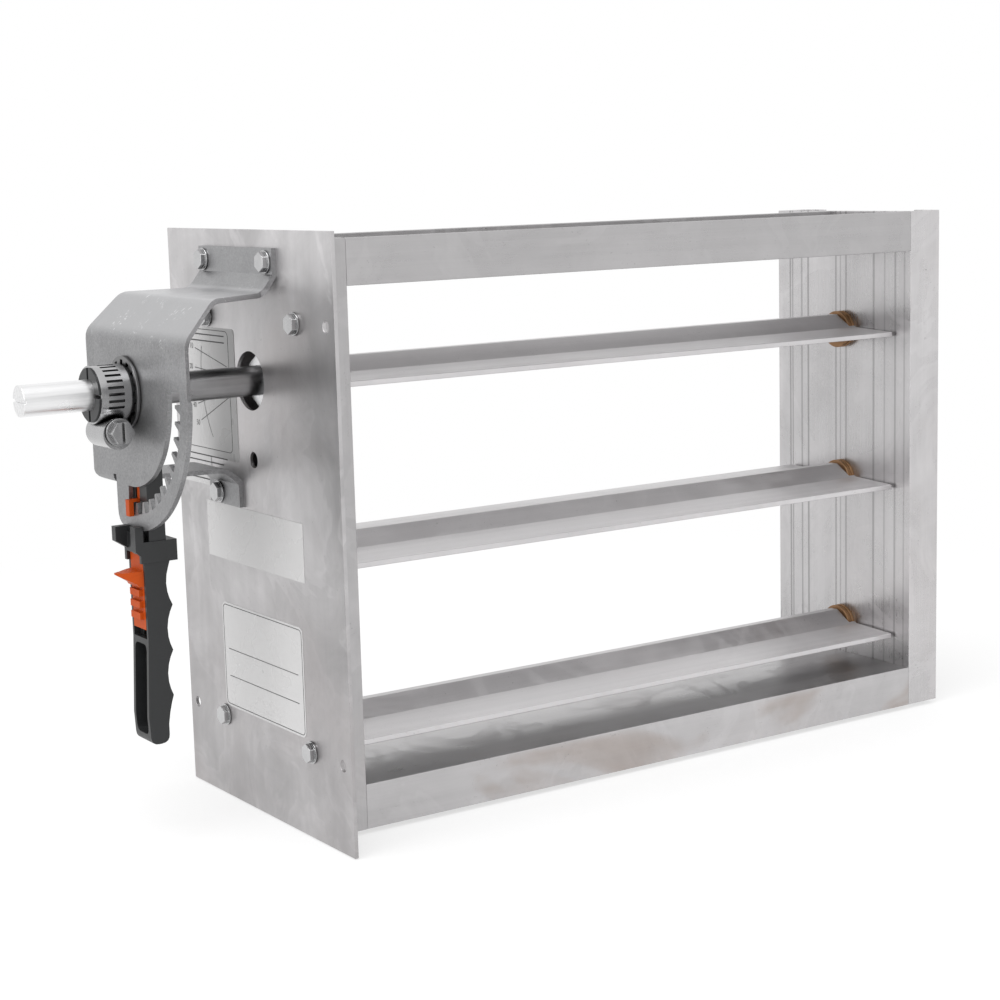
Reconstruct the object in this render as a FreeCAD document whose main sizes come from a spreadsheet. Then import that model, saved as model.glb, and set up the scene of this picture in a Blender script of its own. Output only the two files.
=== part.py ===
import FreeCAD, Part
import math
import os

import Sketcher

# Manual balancing damper for a rectangular duct, three coupled blades, modelled in millimetres.
# Frame of the model: +X into the duct across the damper, +Y along the airflow, +Z up.
# Origin: centre of the mounting plate's four duct screws, on the plate's seating face.

doc = FreeCAD.newDocument("BalancingDamper")
sheet = doc.addObject("Spreadsheet::Sheet", "Sizes")

# Driving sizes: name, value in mm or degrees, meaning
SIZES = [
    ("plate_thick", 1.6, "mounting plate, sheet thickness"),
    ("plate_side", 25.75, "mounting plate, past the side channel along the airflow"),
    ("plate_over", 2.675, "mounting plate, past the side channel's height at each end"),
    ("duct_hole_side", 7.0, "duct screws, from the plate's side edge"),
    ("duct_hole_edge", 37.4, "duct screws, from the plate's upper or lower edge"),
    ("duct_hole_dia", 4.8, "duct screw holes"),
    ("shaft_hole_dia", 25.0, "hole in the plate around the drive shaft"),
    ("gauge_hole_dia", 7.0, "small hole under the shaft hole"),
    ("gauge_hole_drop", 33.7, "small hole, below the drive axis"),
    ("frame_drop", 1.0, "side channels, centre below the plate's centre"),
    ("frame_depth", 96.5, "side channels, along the airflow"),
    ("wall", 1.6, "channel and rail wall"),
    ("flange", 19.4, "channel and rail leg length"),
    ("lip", 16.0, "return lip of the side channels"),
    ("web_gap", 317.0, "clear width between the side channels"),
    ("rail_depth", 58.0, "cross rails, along the airflow"),
    ("rail_blade_gap", 2.925, "top rail to the edge of the closed top blade"),
    ("rail_trim_gap", 1.625, "bottom rail to the cut edge of the closed lowest blade"),
    ("blade_gap", 1.9, "gap between the edges of the closed blades"),
    ("axle_dia", 12.7, "drive shaft and axles"),
    ("shaft_reach", 103.3, "drive shaft, free end in front of the plate"),
    ("axle_end_gap", 2.0, "axle end, short of the right bearing's tail"),
    ("axle_stub", 18.2, "axle end, past the left web's inner face into the channel"),
    ("mark_width", 1.2, "position mark in the shaft end, width"),
    ("mark_depth", 0.8, "position mark in the shaft end, depth"),
    ("bush_flange_dia", 18.4, "bearing flange diameter"),
    ("bush_flange_thick", 4.5, "bearing flange thickness"),
    ("bush_body_dia", 16.0, "bearing body through the web"),
    ("bush_tail", 5.0, "bearing body, past the web"),
    ("bush_groove_width", 1.4, "groove round the bearing flange, width"),
    ("bush_groove_depth", 1.0, "groove round the bearing flange, depth"),
    ("running_gap", 0.05, "radial clearance of a running fit"),
    ("seat_gap", 0.02, "radial clearance of a seated piece"),
    ("blade_sheet", 1.2, "blade, sheet thickness"),
    ("blade_end_gap", 1.5, "blade end to side channel"),
    ("blade_half", 37.3, "blade, axis to edge"),
    ("blade_trim", 14.0, "lowest blade, axis to its cut back edge"),
    ("hat_gap", 0.15, "blade crest to axle"),
    ("hat_top_half", 2.0, "blade crest, half width"),
    ("hat_foot_half", 12.0, "blade crease, distance from the axis"),
    ("hat_miter", 0.34, "shift of the creases on the lower face"),
    ("front_crease", 1.5, "upper face at the front crease, above the axis"),
    ("front_edge", 0.2, "upper face at the front edge, above the axis"),
    ("back_crease", 2.5, "upper face at the back crease, above the axis"),
    ("back_edge", 2.75, "upper face at the back edge, above the axis"),
    ("hem_width", 8.0, "folded hem, width"),
    ("hem_thick", 1.1, "folded hem, below the sheet"),
    ("notch_half", 10.7, "blade notch round the bearing, half width"),
    ("notch_gap", 0.9, "blade notch to bearing flange"),
    ("screw_dia", 4.2, "sheet metal screw, shank"),
    ("screw_clear", 0.1, "sheet metal screw, radial clearance in its hole"),
    ("screw_head_dia", 8.4, "hex head, across corners"),
    ("screw_head", 2.2, "hex head, height above its washer"),
    ("screw_washer_dia", 9.6, "washer face, diameter"),
    ("screw_washer", 0.8, "washer face, thickness"),
    ("screw_reach", 6.0, "screw shank, past the sheets"),
    ("plate_screw_front", 7.25, "front plate screws, from the channel's front"),
    ("plate_screw_back", 10.25, "back plate screws, from the channel's back"),
    ("plate_screw_edge", 37.4, "plate screws, from the plate's upper or lower edge"),
    ("bracket_sheet", 2.0, "quadrant bracket, sheet thickness"),
    ("bracket_face", 57.6, "quadrant, outer face in front of the plate's seat"),
    ("bracket_top", 56.0, "bracket tab, top above the drive axis"),
    ("bracket_tab_foot", 45.4, "bracket tab, lower bend above the drive axis"),
    ("bracket_arm", 38.3, "bracket arm, upper face above the drive axis"),
    ("bracket_arm_start", 9.0, "bracket arm, start in front of the seat"),
    ("bracket_arm_end", 40.6, "bracket arm, end in front of the seat"),
    ("bracket_shoulder", 23.3, "quadrant, upper bend above the drive axis"),
    ("bracket_tab_front", 28.0, "bracket tab, front edge"),
    ("bracket_mid_front", 48.0, "bracket arm, front edge at its end"),
    ("bracket_back", 39.0, "bracket, back edge"),
    ("tab_screw_front", 22.0, "tab screw in front of the axis"),
    ("tab_screw_back", 34.8, "tab screw behind the axis"),
    ("tab_screw_rise", 50.4, "tab screws, above the drive axis"),
    ("strap_level", 37.4, "lower strap, upper face below the drive axis"),
    ("strap_curve", 4.0, "lower strap, outer curve of its bend at the quadrant"),
    ("back_corner", 8.0, "quadrant, rounding of the corner behind the strap"),
    ("strap_inner", 18.0, "lower strap, front edge at the quadrant"),
    ("strap_wide", 11.0, "lower strap, front edge at the plate"),
    ("strap_bend", 9.0, "lower strap, bend in front of the seat"),
    ("strap_tab_top", 43.6, "strap tab, upper bend below the drive axis"),
    ("strap_tab_foot", 55.2, "strap tab, bottom below the drive axis"),
    ("strap_screw_side", 18.25, "strap screw, from the channel's back"),
    ("strap_screw_drop", 50.2, "strap screw, below the drive axis"),
    ("quadrant_radius", 57.0, "quadrant rim, outer radius"),
    ("quadrant_back", 15.0, "quadrant, back edge of its lower end"),
    ("bend_reach", 3.4, "bracket bends, start of the curve before the corner"),
    ("foot_corner", 6.0, "quadrant, rounding of the lower back corner"),
    ("slot_inner", 38.8, "slot, inner radius"),
    ("slot_outer", 50.0, "slot, radius at the tooth roots"),
    ("tooth_tip", 45.4, "radius of the tooth tips"),
    ("tooth_count", 11.0, "teeth in the slot"),
    ("travel", 90.0, "travel of the handle, degrees"),
    ("slot_over_open", 4.5, "slot, past the open position, degrees"),
    ("slot_over_shut", 4.0, "slot, past the closed position, degrees"),
    ("tooth_root_low", 2.2, "tooth, slanted side at the root, degrees"),
    ("tooth_side", 1.8, "tooth, radial side, degrees"),
    ("tooth_tip_low", 0.3, "tooth, slanted side at the tip, degrees"),
    ("plate_gap", 0.4, "handle to quadrant, clearance"),
    ("sleeve_radius", 11.0, "handle sleeve, radius"),
    ("sleeve_bore_gap", 0.3, "sleeve in the quadrant, radial clearance"),
    ("sleeve_end", 74.0, "sleeve, end in front of the plate's seat"),
    ("sleeve_slit", 1.6, "slit in the sleeve, width"),
    ("sleeve_slit_length", 15.0, "slit in the sleeve, length"),
    ("hub_radius", 14.0, "handle hub, radius"),
    ("hub_inner", 48.6, "handle hub, inner end in front of the seat"),
    ("arm_inner", 47.8, "handle arm, inner side in front of the seat"),
    ("cross_inner", 43.2, "fork crossbar, inner end in front of the seat"),
    ("grip_face", 57.9, "grip, outer face in front of the seat"),
    ("grip_front", 9.0, "grip, front side"),
    ("grip_back", 6.3, "grip, back side"),
    ("grip_peak", 46.3, "finger ridges in front of the seat"),
    ("grip_valley", 48.7, "finger valleys in front of the seat"),
    ("grip_lean", 0.8, "grip, outward shift from one finger ridge to the next"),
    ("grip_ridge_one", 88.2, "first finger ridge, below the drive axis"),
    ("grip_ridge_pitch", 19.0, "distance between the finger ridges"),
    ("grip_foot", 146.2, "grip, lower end below the drive axis"),
    ("grip_corner", 3.4, "grip, rounding of its lower corners"),
    ("grip_recess_top", 104.0, "recess in the grip, top below the drive axis"),
    ("grip_recess_wall", 4.2, "grip, height of the foot below its recess"),
    ("grip_recess_depth", 5.0, "recess in the grip, depth"),
    ("grip_recess_corner", 3.0, "recess in the grip, rounding of its corners"),
    ("grip_rim", 2.0, "rim round the recess"),
    ("fork_low", 69.7, "fork crossbar, lower side below the drive axis"),
    ("fork_high", 60.9, "fork crossbar, upper side below the drive axis"),
    ("fork_thick", 1.4, "fork wall in front of the quadrant, thickness"),
    ("rim_gap", 0.6, "quadrant rim to the fork's floor"),
    ("fork_front_face", 61.5, "front prong, outer face in front of the seat"),
    ("fork_front_top", 54.4, "front prong, top below the drive axis"),
    ("fork_front_low", 64.6, "front prong, outer lower corner below the drive axis"),
    ("fork_front_in", 4.7, "front prong, inner side"),
    ("fork_front_out", 9.5, "front prong, outer side"),
    ("fork_back_in", 3.2, "back prong, inner side"),
    ("fork_back_out", 7.0, "back prong, outer side"),
    ("fork_back_top", 55.2, "back prong, top below the drive axis"),
    ("fork_back_low", 64.2, "back prong, outer lower corner below the drive axis"),
    ("fork_back_face", 64.5, "back prong, outer face in front of the seat"),
    ("pawl_width", 3.4, "pawl, width"),
    ("pawl_neck", 1.0, "pawl, height of its neck through the slot"),
    ("pawl_head", 6.8, "pawl, height of its head in front of the teeth"),
    ("pawl_head_thick", 2.1, "pawl, thickness of its head"),
    ("pawl_stem", 7.0, "trigger stem, past the tooth tips"),
    ("tooth_gap", 0.3, "pawl and tooth tips, clearance when squeezed"),
    ("trigger_travel", 3.5, "trigger, travel between squeezed and locked"),
    ("stem_front", 54.6, "trigger stem, outer face in front of the seat"),
    ("stem_thick", 1.8, "trigger stem, thickness"),
    ("guide_gap", 0.3, "trigger in the handle, clearance"),
    ("trigger_top", 66.1, "trigger face, top below the drive axis"),
    ("trigger_foot", 97.7, "trigger face, foot below the drive axis"),
    ("trigger_front", 7.25, "trigger face, front side"),
    ("trigger_back", 4.55, "trigger face, back side"),
    ("trigger_thick", 2.7, "trigger face, thickness"),
    ("hook_reach", 67.8, "trigger hook, tip in front of the seat"),
    ("hook_drop", 7.3, "trigger hook, tip below the trigger's top"),
    ("hook_root", 6.2, "trigger hook, height at its root"),
    ("hook_tip", 0.7, "trigger hook, half width of its tip"),
    ("ridge_first", 16.3, "first trigger ridge, below the trigger's top"),
    ("ridge_tall", 1.7, "trigger ridges, height"),
    ("ridge_width", 2.8, "trigger ridges, width"),
    ("ridge_inset", 1.4, "trigger ridges, from the side of the trigger face"),
    ("ridge_pitch", 4.8, "distance between the trigger ridges"),
    ("ridge_count", 3.0, "number of trigger ridges below the hook"),
    ("spring_wire", 0.6, "return spring, wire diameter"),
    ("spring_radius", 0.9, "return spring, coil radius to the wire's middle"),
    ("spring_length", 13.0, "return spring, squeezed length"),
    ("spring_pitch", 2.0, "return spring, distance between the coils"),
    ("shelf_thick", 2.0, "spring shelf on the stem, thickness"),
    ("shelf_deep", 2.4, "spring shelf on the stem, depth"),
    ("ring_radius", 14.8, "retaining ring, outer radius"),
    ("ring_thick", 1.2, "retaining ring, thickness"),
    ("ring_stand", 0.4, "retaining ring to quadrant, clearance"),
    ("ring_notch_out", 13.3, "retaining ring, outer end of its notches"),
    ("ring_notch_width", 2.4, "retaining ring, notch width"),
    ("ring_notches", 14.0, "retaining ring, number of notches"),
    ("band_near", 60.3, "clamp band, edge nearer to the plate"),
    ("band_width", 13.0, "clamp band, width"),
    ("band_thick", 0.75, "clamp band, thickness"),
    ("band_slot_length", 6.8, "clamp band, slot length"),
    ("band_slot_width", 1.15, "clamp band, slot width"),
    ("band_slot_angle", 13.4, "angle between the clamp band's slots"),
    ("band_slots", 18.0, "number of slots in the clamp band"),
    ("worm_drop", 14.6, "clamp screw, below the drive axis"),
    ("worm_dia", 5.0, "clamp screw, thread diameter"),
    ("worm_length", 20.0, "clamp screw, thread length"),
    ("worm_head_dia", 9.8, "clamp screw head, across corners"),
    ("worm_head", 3.8, "clamp screw head, length"),
    ("worm_collar_dia", 11.2, "clamp screw collar, diameter"),
    ("worm_collar", 1.2, "clamp screw collar, thickness"),
    ("worm_slot", 1.2, "slot in the clamp screw head, width"),
    ("worm_slot_depth", 1.2, "slot in the clamp screw head, depth"),
    ("worm_gap", 0.15, "clamp screw in the band and the housing, radial clearance"),
    ("housing_radius", 6.4, "clamp housing, outer radius"),
    ("housing_drop", 0.8, "clamp housing, centre below the screw"),
    ("housing_front", 10.8, "clamp housing, front end"),
    ("housing_back", 7.0, "clamp housing, back end"),
    ("housing_stand", 0.5, "clamp screw collar to housing, clearance"),
    ("crank_radius", 20.0, "crank, axis to pin"),
    ("crank_thick", 2.5, "crank, thickness"),
    ("crank_hub", 9.4, "crank, hub radius"),
    ("crank_eye", 5.0, "crank, radius round a pin"),
    ("crank_stand", 2.0, "crank to mounting plate, clearance"),
    ("pin_dia", 5.0, "crank pins"),
    ("pin_head_dia", 7.5, "crank pin, head diameter"),
    ("pin_head", 1.0, "crank pin, head thickness"),
    ("bar_gap", 0.8, "tie bar to crank and to pin head"),
    ("bar_thick", 2.5, "tie bar, thickness"),
    ("bar_width", 9.0, "tie bar, width"),
    ("label_thick", 0.15, "labels, thickness"),
    ("dial_front", 13.4, "position label, front edge"),
    ("dial_back", 71.0, "position label, back edge"),
    ("dial_corner", 2.2, "position label, rounding of its corners"),
    ("dial_top", 20.9, "position label, top above the drive axis"),
    ("dial_step", 40.5, "position label, step behind the strap"),
    ("dial_step_drop", 36.2, "position label, lower edge above the strap"),
    ("dial_drop", 49.2, "position label, lowest edge below the drive axis"),
    ("wide_front", 41.0, "wide label, front edge"),
    ("wide_back", 47.0, "wide label, back edge"),
    ("wide_top", 7.4, "wide label, top above the origin"),
    ("wide_foot", 17.4, "wide label, foot below the origin"),
    ("maker_half", 37.0, "lower label, half width"),
    ("maker_top", 37.0, "lower label, top below the origin"),
    ("maker_foot", 84.2, "lower label, foot below the origin"),
    ("maker_corner", 3.0, "lower label, corner radius"),
]

for row, (alias, value, meaning) in enumerate(SIZES, 1):
    sheet.set("A%d" % row, alias)
    sheet.set("B%d" % row, str(value))
    sheet.set("C%d" % row, meaning)
    sheet.setAlias("B%d" % row, alias)
doc.recompute()


# A length or angle with its value and the formula that ties it to the sheet
class Size:
    def __init__(self, value, text):
        self.value = float(value)
        self.text = text

    def __add__(self, other):
        other = as_size(other)
        return Size(self.value + other.value, "(%s + %s)" % (self.text, other.text))

    def __radd__(self, other):
        return as_size(other) + self

    def __sub__(self, other):
        other = as_size(other)
        return Size(self.value - other.value, "(%s - %s)" % (self.text, other.text))

    def __rsub__(self, other):
        return as_size(other) - self

    def __mul__(self, other):
        other = as_size(other)
        return Size(self.value * other.value, "(%s * %s)" % (self.text, other.text))

    def __rmul__(self, other):
        return as_size(other) * self

    def __truediv__(self, other):
        other = as_size(other)
        return Size(self.value / other.value, "(%s / %s)" % (self.text, other.text))

    def __neg__(self):
        return Size(-self.value, "(0 - %s)" % self.text)


def as_size(item):
    if isinstance(item, Size):
        return item
    return Size(item, repr(float(item)))


def sine(angle):
    angle = as_size(angle)
    return Size(math.sin(math.radians(angle.value)), "sin(%s * 1 deg)" % angle.text)


def cosine(angle):
    angle = as_size(angle)
    return Size(math.cos(math.radians(angle.value)), "cos(%s * 1 deg)" % angle.text)


class Names:
    pass


d = Names()
for alias, value, meaning in SIZES:
    setattr(d, alias, Size(float(sheet.get(alias)), "Sizes." + alias))


# Binding helpers
def bind(obj, prop, size):
    size = as_size(size)
    if "Sizes." in size.text:
        obj.setExpression(prop, size.text)
    else:
        place = obj
        names = prop.split(".")
        if names[0] in ("Placement", "AttachmentOffset"):
            frame = getattr(place, names[0])
            base = FreeCAD.Vector(frame.Base)
            setattr(base, names[2], size.value)
            frame.Base = base
            setattr(place, names[0], frame)
        else:
            setattr(obj, prop, size.value)


def put(obj, x, y, z, rotation=None):
    if rotation is not None:
        obj.Placement = FreeCAD.Placement(FreeCAD.Vector(0, 0, 0), rotation)
    bind(obj, "Placement.Base.x", x)
    bind(obj, "Placement.Base.y", y)
    bind(obj, "Placement.Base.z", z)
    return obj


# Solid primitives with their sizes bound to the sheet
def box(name, x0, x1, y0, y1, z0, z1):
    obj = doc.addObject("Part::Box", name)
    bind(obj, "Length", as_size(x1) - x0)
    bind(obj, "Width", as_size(y1) - y0)
    bind(obj, "Height", as_size(z1) - z0)
    return put(obj, x0, y0, z0)


ALONG = {
    "x": FreeCAD.Rotation(FreeCAD.Vector(0, 1, 0), 90),
    "y": FreeCAD.Rotation(FreeCAD.Vector(1, 0, 0), -90),
    "z": FreeCAD.Rotation(),
}


def rod(name, axis, x, y, z, radius, length):
    obj = doc.addObject("Part::Cylinder", name)
    bind(obj, "Radius", radius)
    bind(obj, "Height", length)
    return put(obj, x, y, z, ALONG[axis])


def hexrod(name, axis, x, y, z, radius, length):
    obj = doc.addObject("Part::Prism", name)
    obj.Polygon = 6
    bind(obj, "Circumradius", radius)
    bind(obj, "Height", length)
    return put(obj, x, y, z, ALONG[axis])


def join(name, parts):
    obj = doc.addObject("Part::MultiFuse", name)
    obj.Shapes = parts
    return obj


def cut(name, base, tool):
    obj = doc.addObject("Part::Cut", name)
    obj.Base = base
    obj.Tool = tool
    return obj


def common(name, first, second):
    obj = doc.addObject("Part::MultiCommon", name)
    obj.Shapes = [first, second]
    return obj


def group(name, parts):
    obj = doc.addObject("Part::Compound", name)
    obj.Links = parts
    return obj


# Sketched features: a sketch on an origin plane of its own body
def new_body(name):
    return doc.addObject("PartDesign::Body", name)


def sketch(owner, name, role, loops=(), rings=(), offset=(0, 0, 0)):
    sk = owner.newObject("Sketcher::SketchObject", name)
    plane = [f for f in owner.Origin.OriginFeatures if f.Role == role][0]
    sk.AttachmentSupport = [(plane, "")]
    sk.MapMode = "FlatFace"
    for letter, shift in zip("xyz", offset):
        bind(sk, "AttachmentOffset.Base." + letter, shift)
    for loop in loops:
        points = [(as_size(a), as_size(b)) for a, b in loop]
        first = sk.GeometryCount
        count = len(points)
        for i in range(count):
            a, b = points[i], points[(i + 1) % count]
            start = FreeCAD.Vector(a[0].value, a[1].value, 0)
            end = FreeCAD.Vector(b[0].value, b[1].value, 0)
            sk.addGeometry(Part.LineSegment(start, end), False)
        for i in range(count):
            following = first + (i + 1) % count
            sk.addConstraint(Sketcher.Constraint("Coincident", first + i, 2, following, 1))
        for i in range(count):
            pin_point(sk, first + i, 1, points[i])
    for x, y, radius in rings:
        x, y, radius = as_size(x), as_size(y), as_size(radius)
        centre = FreeCAD.Vector(x.value, y.value, 0)
        circle = Part.Circle(centre, FreeCAD.Vector(0, 0, 1), radius.value)
        index = sk.addGeometry(circle, False)
        pin_point(sk, index, 3, (x, y))
        number = sk.addConstraint(Sketcher.Constraint("Radius", index, radius.value))
        if "Sizes." in radius.text:
            sk.setExpression("Constraints[%d]" % number, radius.text)
    return sk


def pin_point(sk, index, end, point):
    for kind, axis, size in (("DistanceX", -2, point[0]), ("DistanceY", -1, point[1])):
        if abs(size.value) < 1e-9 and "Sizes." not in size.text:
            sk.addConstraint(Sketcher.Constraint("PointOnObject", index, end, axis))
            continue
        link = Sketcher.Constraint(kind, -1, 1, index, end, size.value)
        number = sk.addConstraint(link)
        if "Sizes." in size.text:
            sk.setExpression("Constraints[%d]" % number, size.text)


def pad(owner, name, sk, length, reverse=False):
    feature = owner.newObject("PartDesign::Pad", name)
    feature.Profile = sk
    bind(feature, "Length", length)
    feature.Reversed = reverse
    owner.Tip = feature
    doc.recompute()
    return feature


def pocket(owner, name, sk, length, reverse=False):
    before = owner.Shape.Volume
    feature = owner.newObject("PartDesign::Pocket", name)
    feature.Profile = sk
    bind(feature, "Length", length)
    feature.Reversed = reverse
    owner.Tip = feature
    doc.recompute()
    if not feature.Shape.Volume < before - 1e-6:
        raise RuntimeError("%s removes nothing" % name)
    return feature


# Derived places
axle_r = d.axle_dia / 2
blade_pitch = 2 * d.blade_half + d.blade_gap
top_room = d.blade_half + d.rail_blade_gap
foot_room = d.blade_trim + d.rail_trim_gap
frame_height = top_room + 2 * blade_pitch + foot_room + 2 * d.flange
frame_top = frame_height / 2 - d.frame_drop
frame_foot = -(frame_height / 2) - d.frame_drop
plate_width = d.frame_depth + 2 * d.plate_side
plate_height = frame_height + 2 * d.plate_over
web_left = d.flange
web_right = d.flange + d.web_gap
right_edge = d.flange * 2 + d.web_gap
half_depth = d.frame_depth / 2
drive_z = frame_top - d.flange - top_room
axis_z = [drive_z - blade_pitch * i for i in range(3)]
rail_top_face = frame_top - d.flange
rail_foot_face = frame_foot + d.flange
hole_y = plate_width / 2 - d.duct_hole_side
hole_z = plate_height / 2 - d.duct_hole_edge
screw_front = half_depth - d.plate_screw_front
screw_back = half_depth - d.plate_screw_back
screw_z = plate_height / 2 - d.plate_screw_edge
screw_hole = d.screw_dia / 2 + d.screw_clear
plate_screw_spots = [
    (-screw_front, screw_z),
    (screw_back, screw_z),
    (-screw_front, -screw_z),
    (screw_back, -screw_z),
]
bracket_screw_spots = [
    (-d.tab_screw_front, drive_z + d.tab_screw_rise),
    (d.tab_screw_back, drive_z + d.tab_screw_rise),
    (half_depth - d.strap_screw_side, drive_z - d.strap_screw_drop),
]
pieces = {}

# Mounting plate with its holes
plate = new_body("mounting_plate")
sk = sketch(plate, "plate_outline", "YZ_Plane", loops=[[
    (-(plate_width / 2), -(plate_height / 2)),
    (plate_width / 2, -(plate_height / 2)),
    (plate_width / 2, plate_height / 2),
    (-(plate_width / 2), plate_height / 2),
]])
pad(plate, "plate_sheet", sk, d.plate_thick, True)
rings = [(sy * hole_y, sz * hole_z, d.duct_hole_dia / 2) for sy in (-1, 1) for sz in (-1, 1)]
rings.append((0, drive_z, d.shaft_hole_dia / 2))
rings.append((0, drive_z - d.gauge_hole_drop, d.gauge_hole_dia / 2))
for y, z in plate_screw_spots + bracket_screw_spots:
    rings.append((y, z, screw_hole))
sk = sketch(plate, "plate_hole_rings", "YZ_Plane", rings=rings)
pocket(plate, "plate_holes", sk, d.plate_thick, False)
pieces["mounting_plate"] = plate


# Side channel: C section with return lips, seat holes for three bearings
def channel(name, inner, outward):
    own = new_body(name)
    edge = inner + outward * d.flange
    web_back = inner + outward * d.wall
    lip_front = edge - outward * d.wall
    face = half_depth
    low = half_depth - d.wall
    tip = half_depth - d.lip
    section = sketch(own, name + "_section", "XY_Plane", loops=[[
        (inner, -face), (edge, -face), (edge, -tip), (lip_front, -tip),
        (lip_front, -low), (web_back, -low), (web_back, low), (lip_front, low),
        (lip_front, tip), (edge, tip), (edge, face), (inner, face),
    ]], offset=(0, 0, frame_foot))
    pad(own, name + "_bar", section, frame_height)
    seats = [(0, z, d.bush_body_dia / 2 + d.seat_gap) for z in axis_z]
    back = inner if outward > 0 else web_back
    holes = sketch(own, name + "_seats", "YZ_Plane", rings=seats, offset=(0, 0, back))
    pocket(own, name + "_bearing_holes", holes, d.wall, True)
    return own


left = channel("left_channel", web_left, -1)
holes = sketch(left, "left_lip_rings", "YZ_Plane",
               rings=[(y, z, screw_hole) for y, z in plate_screw_spots + bracket_screw_spots[1:2]])
pocket(left, "left_lip_holes", holes, d.wall, True)
pieces["left_channel"] = left
pieces["right_channel"] = channel("right_channel", web_right, 1)


# Cross rail: U section that opens away from the airflow
def rail(name, inner, up):
    own = new_body(name)
    edge = inner + up * d.flange
    floor = inner + up * d.wall
    front = -half_depth
    back = d.rail_depth - half_depth
    section = sketch(own, name + "_section", "YZ_Plane", loops=[[
        (front, inner), (back, inner), (back, edge), (back - d.wall, edge),
        (back - d.wall, floor), (front + d.wall, floor), (front + d.wall, edge), (front, edge),
    ]], offset=(0, 0, web_left))
    pad(own, name + "_bar", section, d.web_gap)
    return own


pieces["top_rail"] = rail("top_rail", rail_top_face, 1)
pieces["bottom_rail"] = rail("bottom_rail", rail_foot_face, -1)


# Hex washer head screws, head outside, shank along +X
def screws(name, seat, spots, reach):
    parts = []
    for i, (y, z) in enumerate(spots):
        tag = "%s_%d" % (name, i)
        shank = rod(tag + "_shank", "x", seat, y, z, d.screw_dia / 2, reach)
        washer = rod(tag + "_washer", "x", seat - d.screw_washer, y, z,
                     d.screw_washer_dia / 2, d.screw_washer)
        head = hexrod(tag + "_head", "x", seat - d.screw_washer - d.screw_head, y, z,
                      d.screw_head_dia / 2, d.screw_head)
        parts.append(join(tag, [shank, washer, head]))
    return group(name, parts)


pieces["plate_screws"] = screws("plate_screws", -d.plate_thick, plate_screw_spots,
                                d.plate_thick + d.wall + d.screw_reach)
pieces["bracket_screws"] = screws("bracket_screws", -(d.plate_thick + d.bracket_sheet),
                                  bracket_screw_spots,
                                  d.plate_thick + d.bracket_sheet + d.screw_reach)


# Labels on the plate's outer face
def label(name, points):
    own = new_body(name)
    outline = sketch(own, name + "_outline", "YZ_Plane", loops=[points],
                     offset=(0, 0, -d.plate_thick))
    pad(own, name + "_film", outline, d.label_thick, True)
    return own



# Point between a corner and its neighbour, at a reach from the corner
def toward(corner, other, reach):
    run = as_size(other[0]) - corner[0]
    rise = as_size(other[1]) - corner[1]
    share = as_size(reach).value / math.hypot(run.value, rise.value)
    return (as_size(corner[0]) + run * share, as_size(corner[1]) + rise * share)


# Outline whose listed corners become curves that start at a reach before the corner
def rounded(points, turns, reach):
    outline = []
    for i, corner in enumerate(points):
        if i not in turns:
            outline.append(corner)
            continue
        first = toward(corner, points[i - 1], reach)
        last = toward(corner, points[(i + 1) % len(points)], reach)
        for part in (0.0, 0.25, 0.5, 0.75, 1.0):
            a = (1 - part) ** 2
            b = 2 * part * (1 - part)
            c = part ** 2
            outline.append((
                first[0] * a + as_size(corner[0]) * b + last[0] * c,
                first[1] * a + as_size(corner[1]) * b + last[1] * c,
            ))
    return outline


za = drive_z
pieces["position_label"] = label("position_label", rounded([
    (d.dial_front, za - d.dial_step_drop), (d.dial_step, za - d.dial_step_drop),
    (d.dial_step, za - d.dial_drop), (d.dial_back, za - d.dial_drop),
    (d.dial_back, za + d.dial_top), (d.dial_front, za + d.dial_top),
], (0, 3, 4, 5), d.dial_corner))
pieces["wide_label"] = label("wide_label", [
    (-d.wide_front, -d.wide_foot), (d.wide_back, -d.wide_foot),
    (d.wide_back, d.wide_top), (-d.wide_front, d.wide_top),
])
mid_z = -(d.maker_top + d.maker_foot) / 2
half_z = (d.maker_foot - d.maker_top) / 2
outline = []
for side_y, side_z, first in ((1, 1, 0), (-1, 1, 90), (-1, -1, 180), (1, -1, 270)):
    for turn in (0, 30, 60, 90):
        outline.append((
            side_y * (d.maker_half - d.maker_corner) + d.maker_corner * cosine(first + turn),
            mid_z + side_z * (half_z - d.maker_corner) + d.maker_corner * sine(first + turn),
        ))
low_label = label("lower_label", outline)
pieces["lower_label"] = low_label


# Bearings: grooved flange on the airflow side, body through the web
def bearings(name, face, outward):
    parts = []
    for i, z in enumerate(axis_z):
        tag = "%s_%d" % (name, i)
        own = new_body(tag)
        inner = face - outward * d.bush_flange_thick
        tail = face + outward * (d.wall + d.bush_tail)
        middle = face - outward * (d.bush_flange_thick / 2)
        groove_a = middle - outward * (d.bush_groove_width / 2)
        groove_b = middle + outward * (d.bush_groove_width / 2)
        big = d.bush_flange_dia / 2
        low = big - d.bush_groove_depth
        body_r = d.bush_body_dia / 2
        bore = axle_r + d.running_gap
        profile = sketch(own, tag + "_profile", "XZ_Plane", loops=[[
            (inner, bore), (inner, big), (groove_a, big), (groove_a, low),
            (groove_b, low), (groove_b, big), (face, big), (face, body_r),
            (tail, body_r), (tail, bore),
        ]], offset=(0, z, 0))
        turned = own.newObject("PartDesign::Revolution", tag + "_turned")
        turned.Profile = profile
        turned.ReferenceAxis = (profile, ["H_Axis"])
        turned.Angle = 360
        own.Tip = turned
        doc.recompute()
        parts.append(own)
    return group(name, parts)


pieces["left_bearings"] = bearings("left_bearings", web_left, -1)
pieces["right_bearings"] = bearings("right_bearings", web_right, 1)


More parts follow.
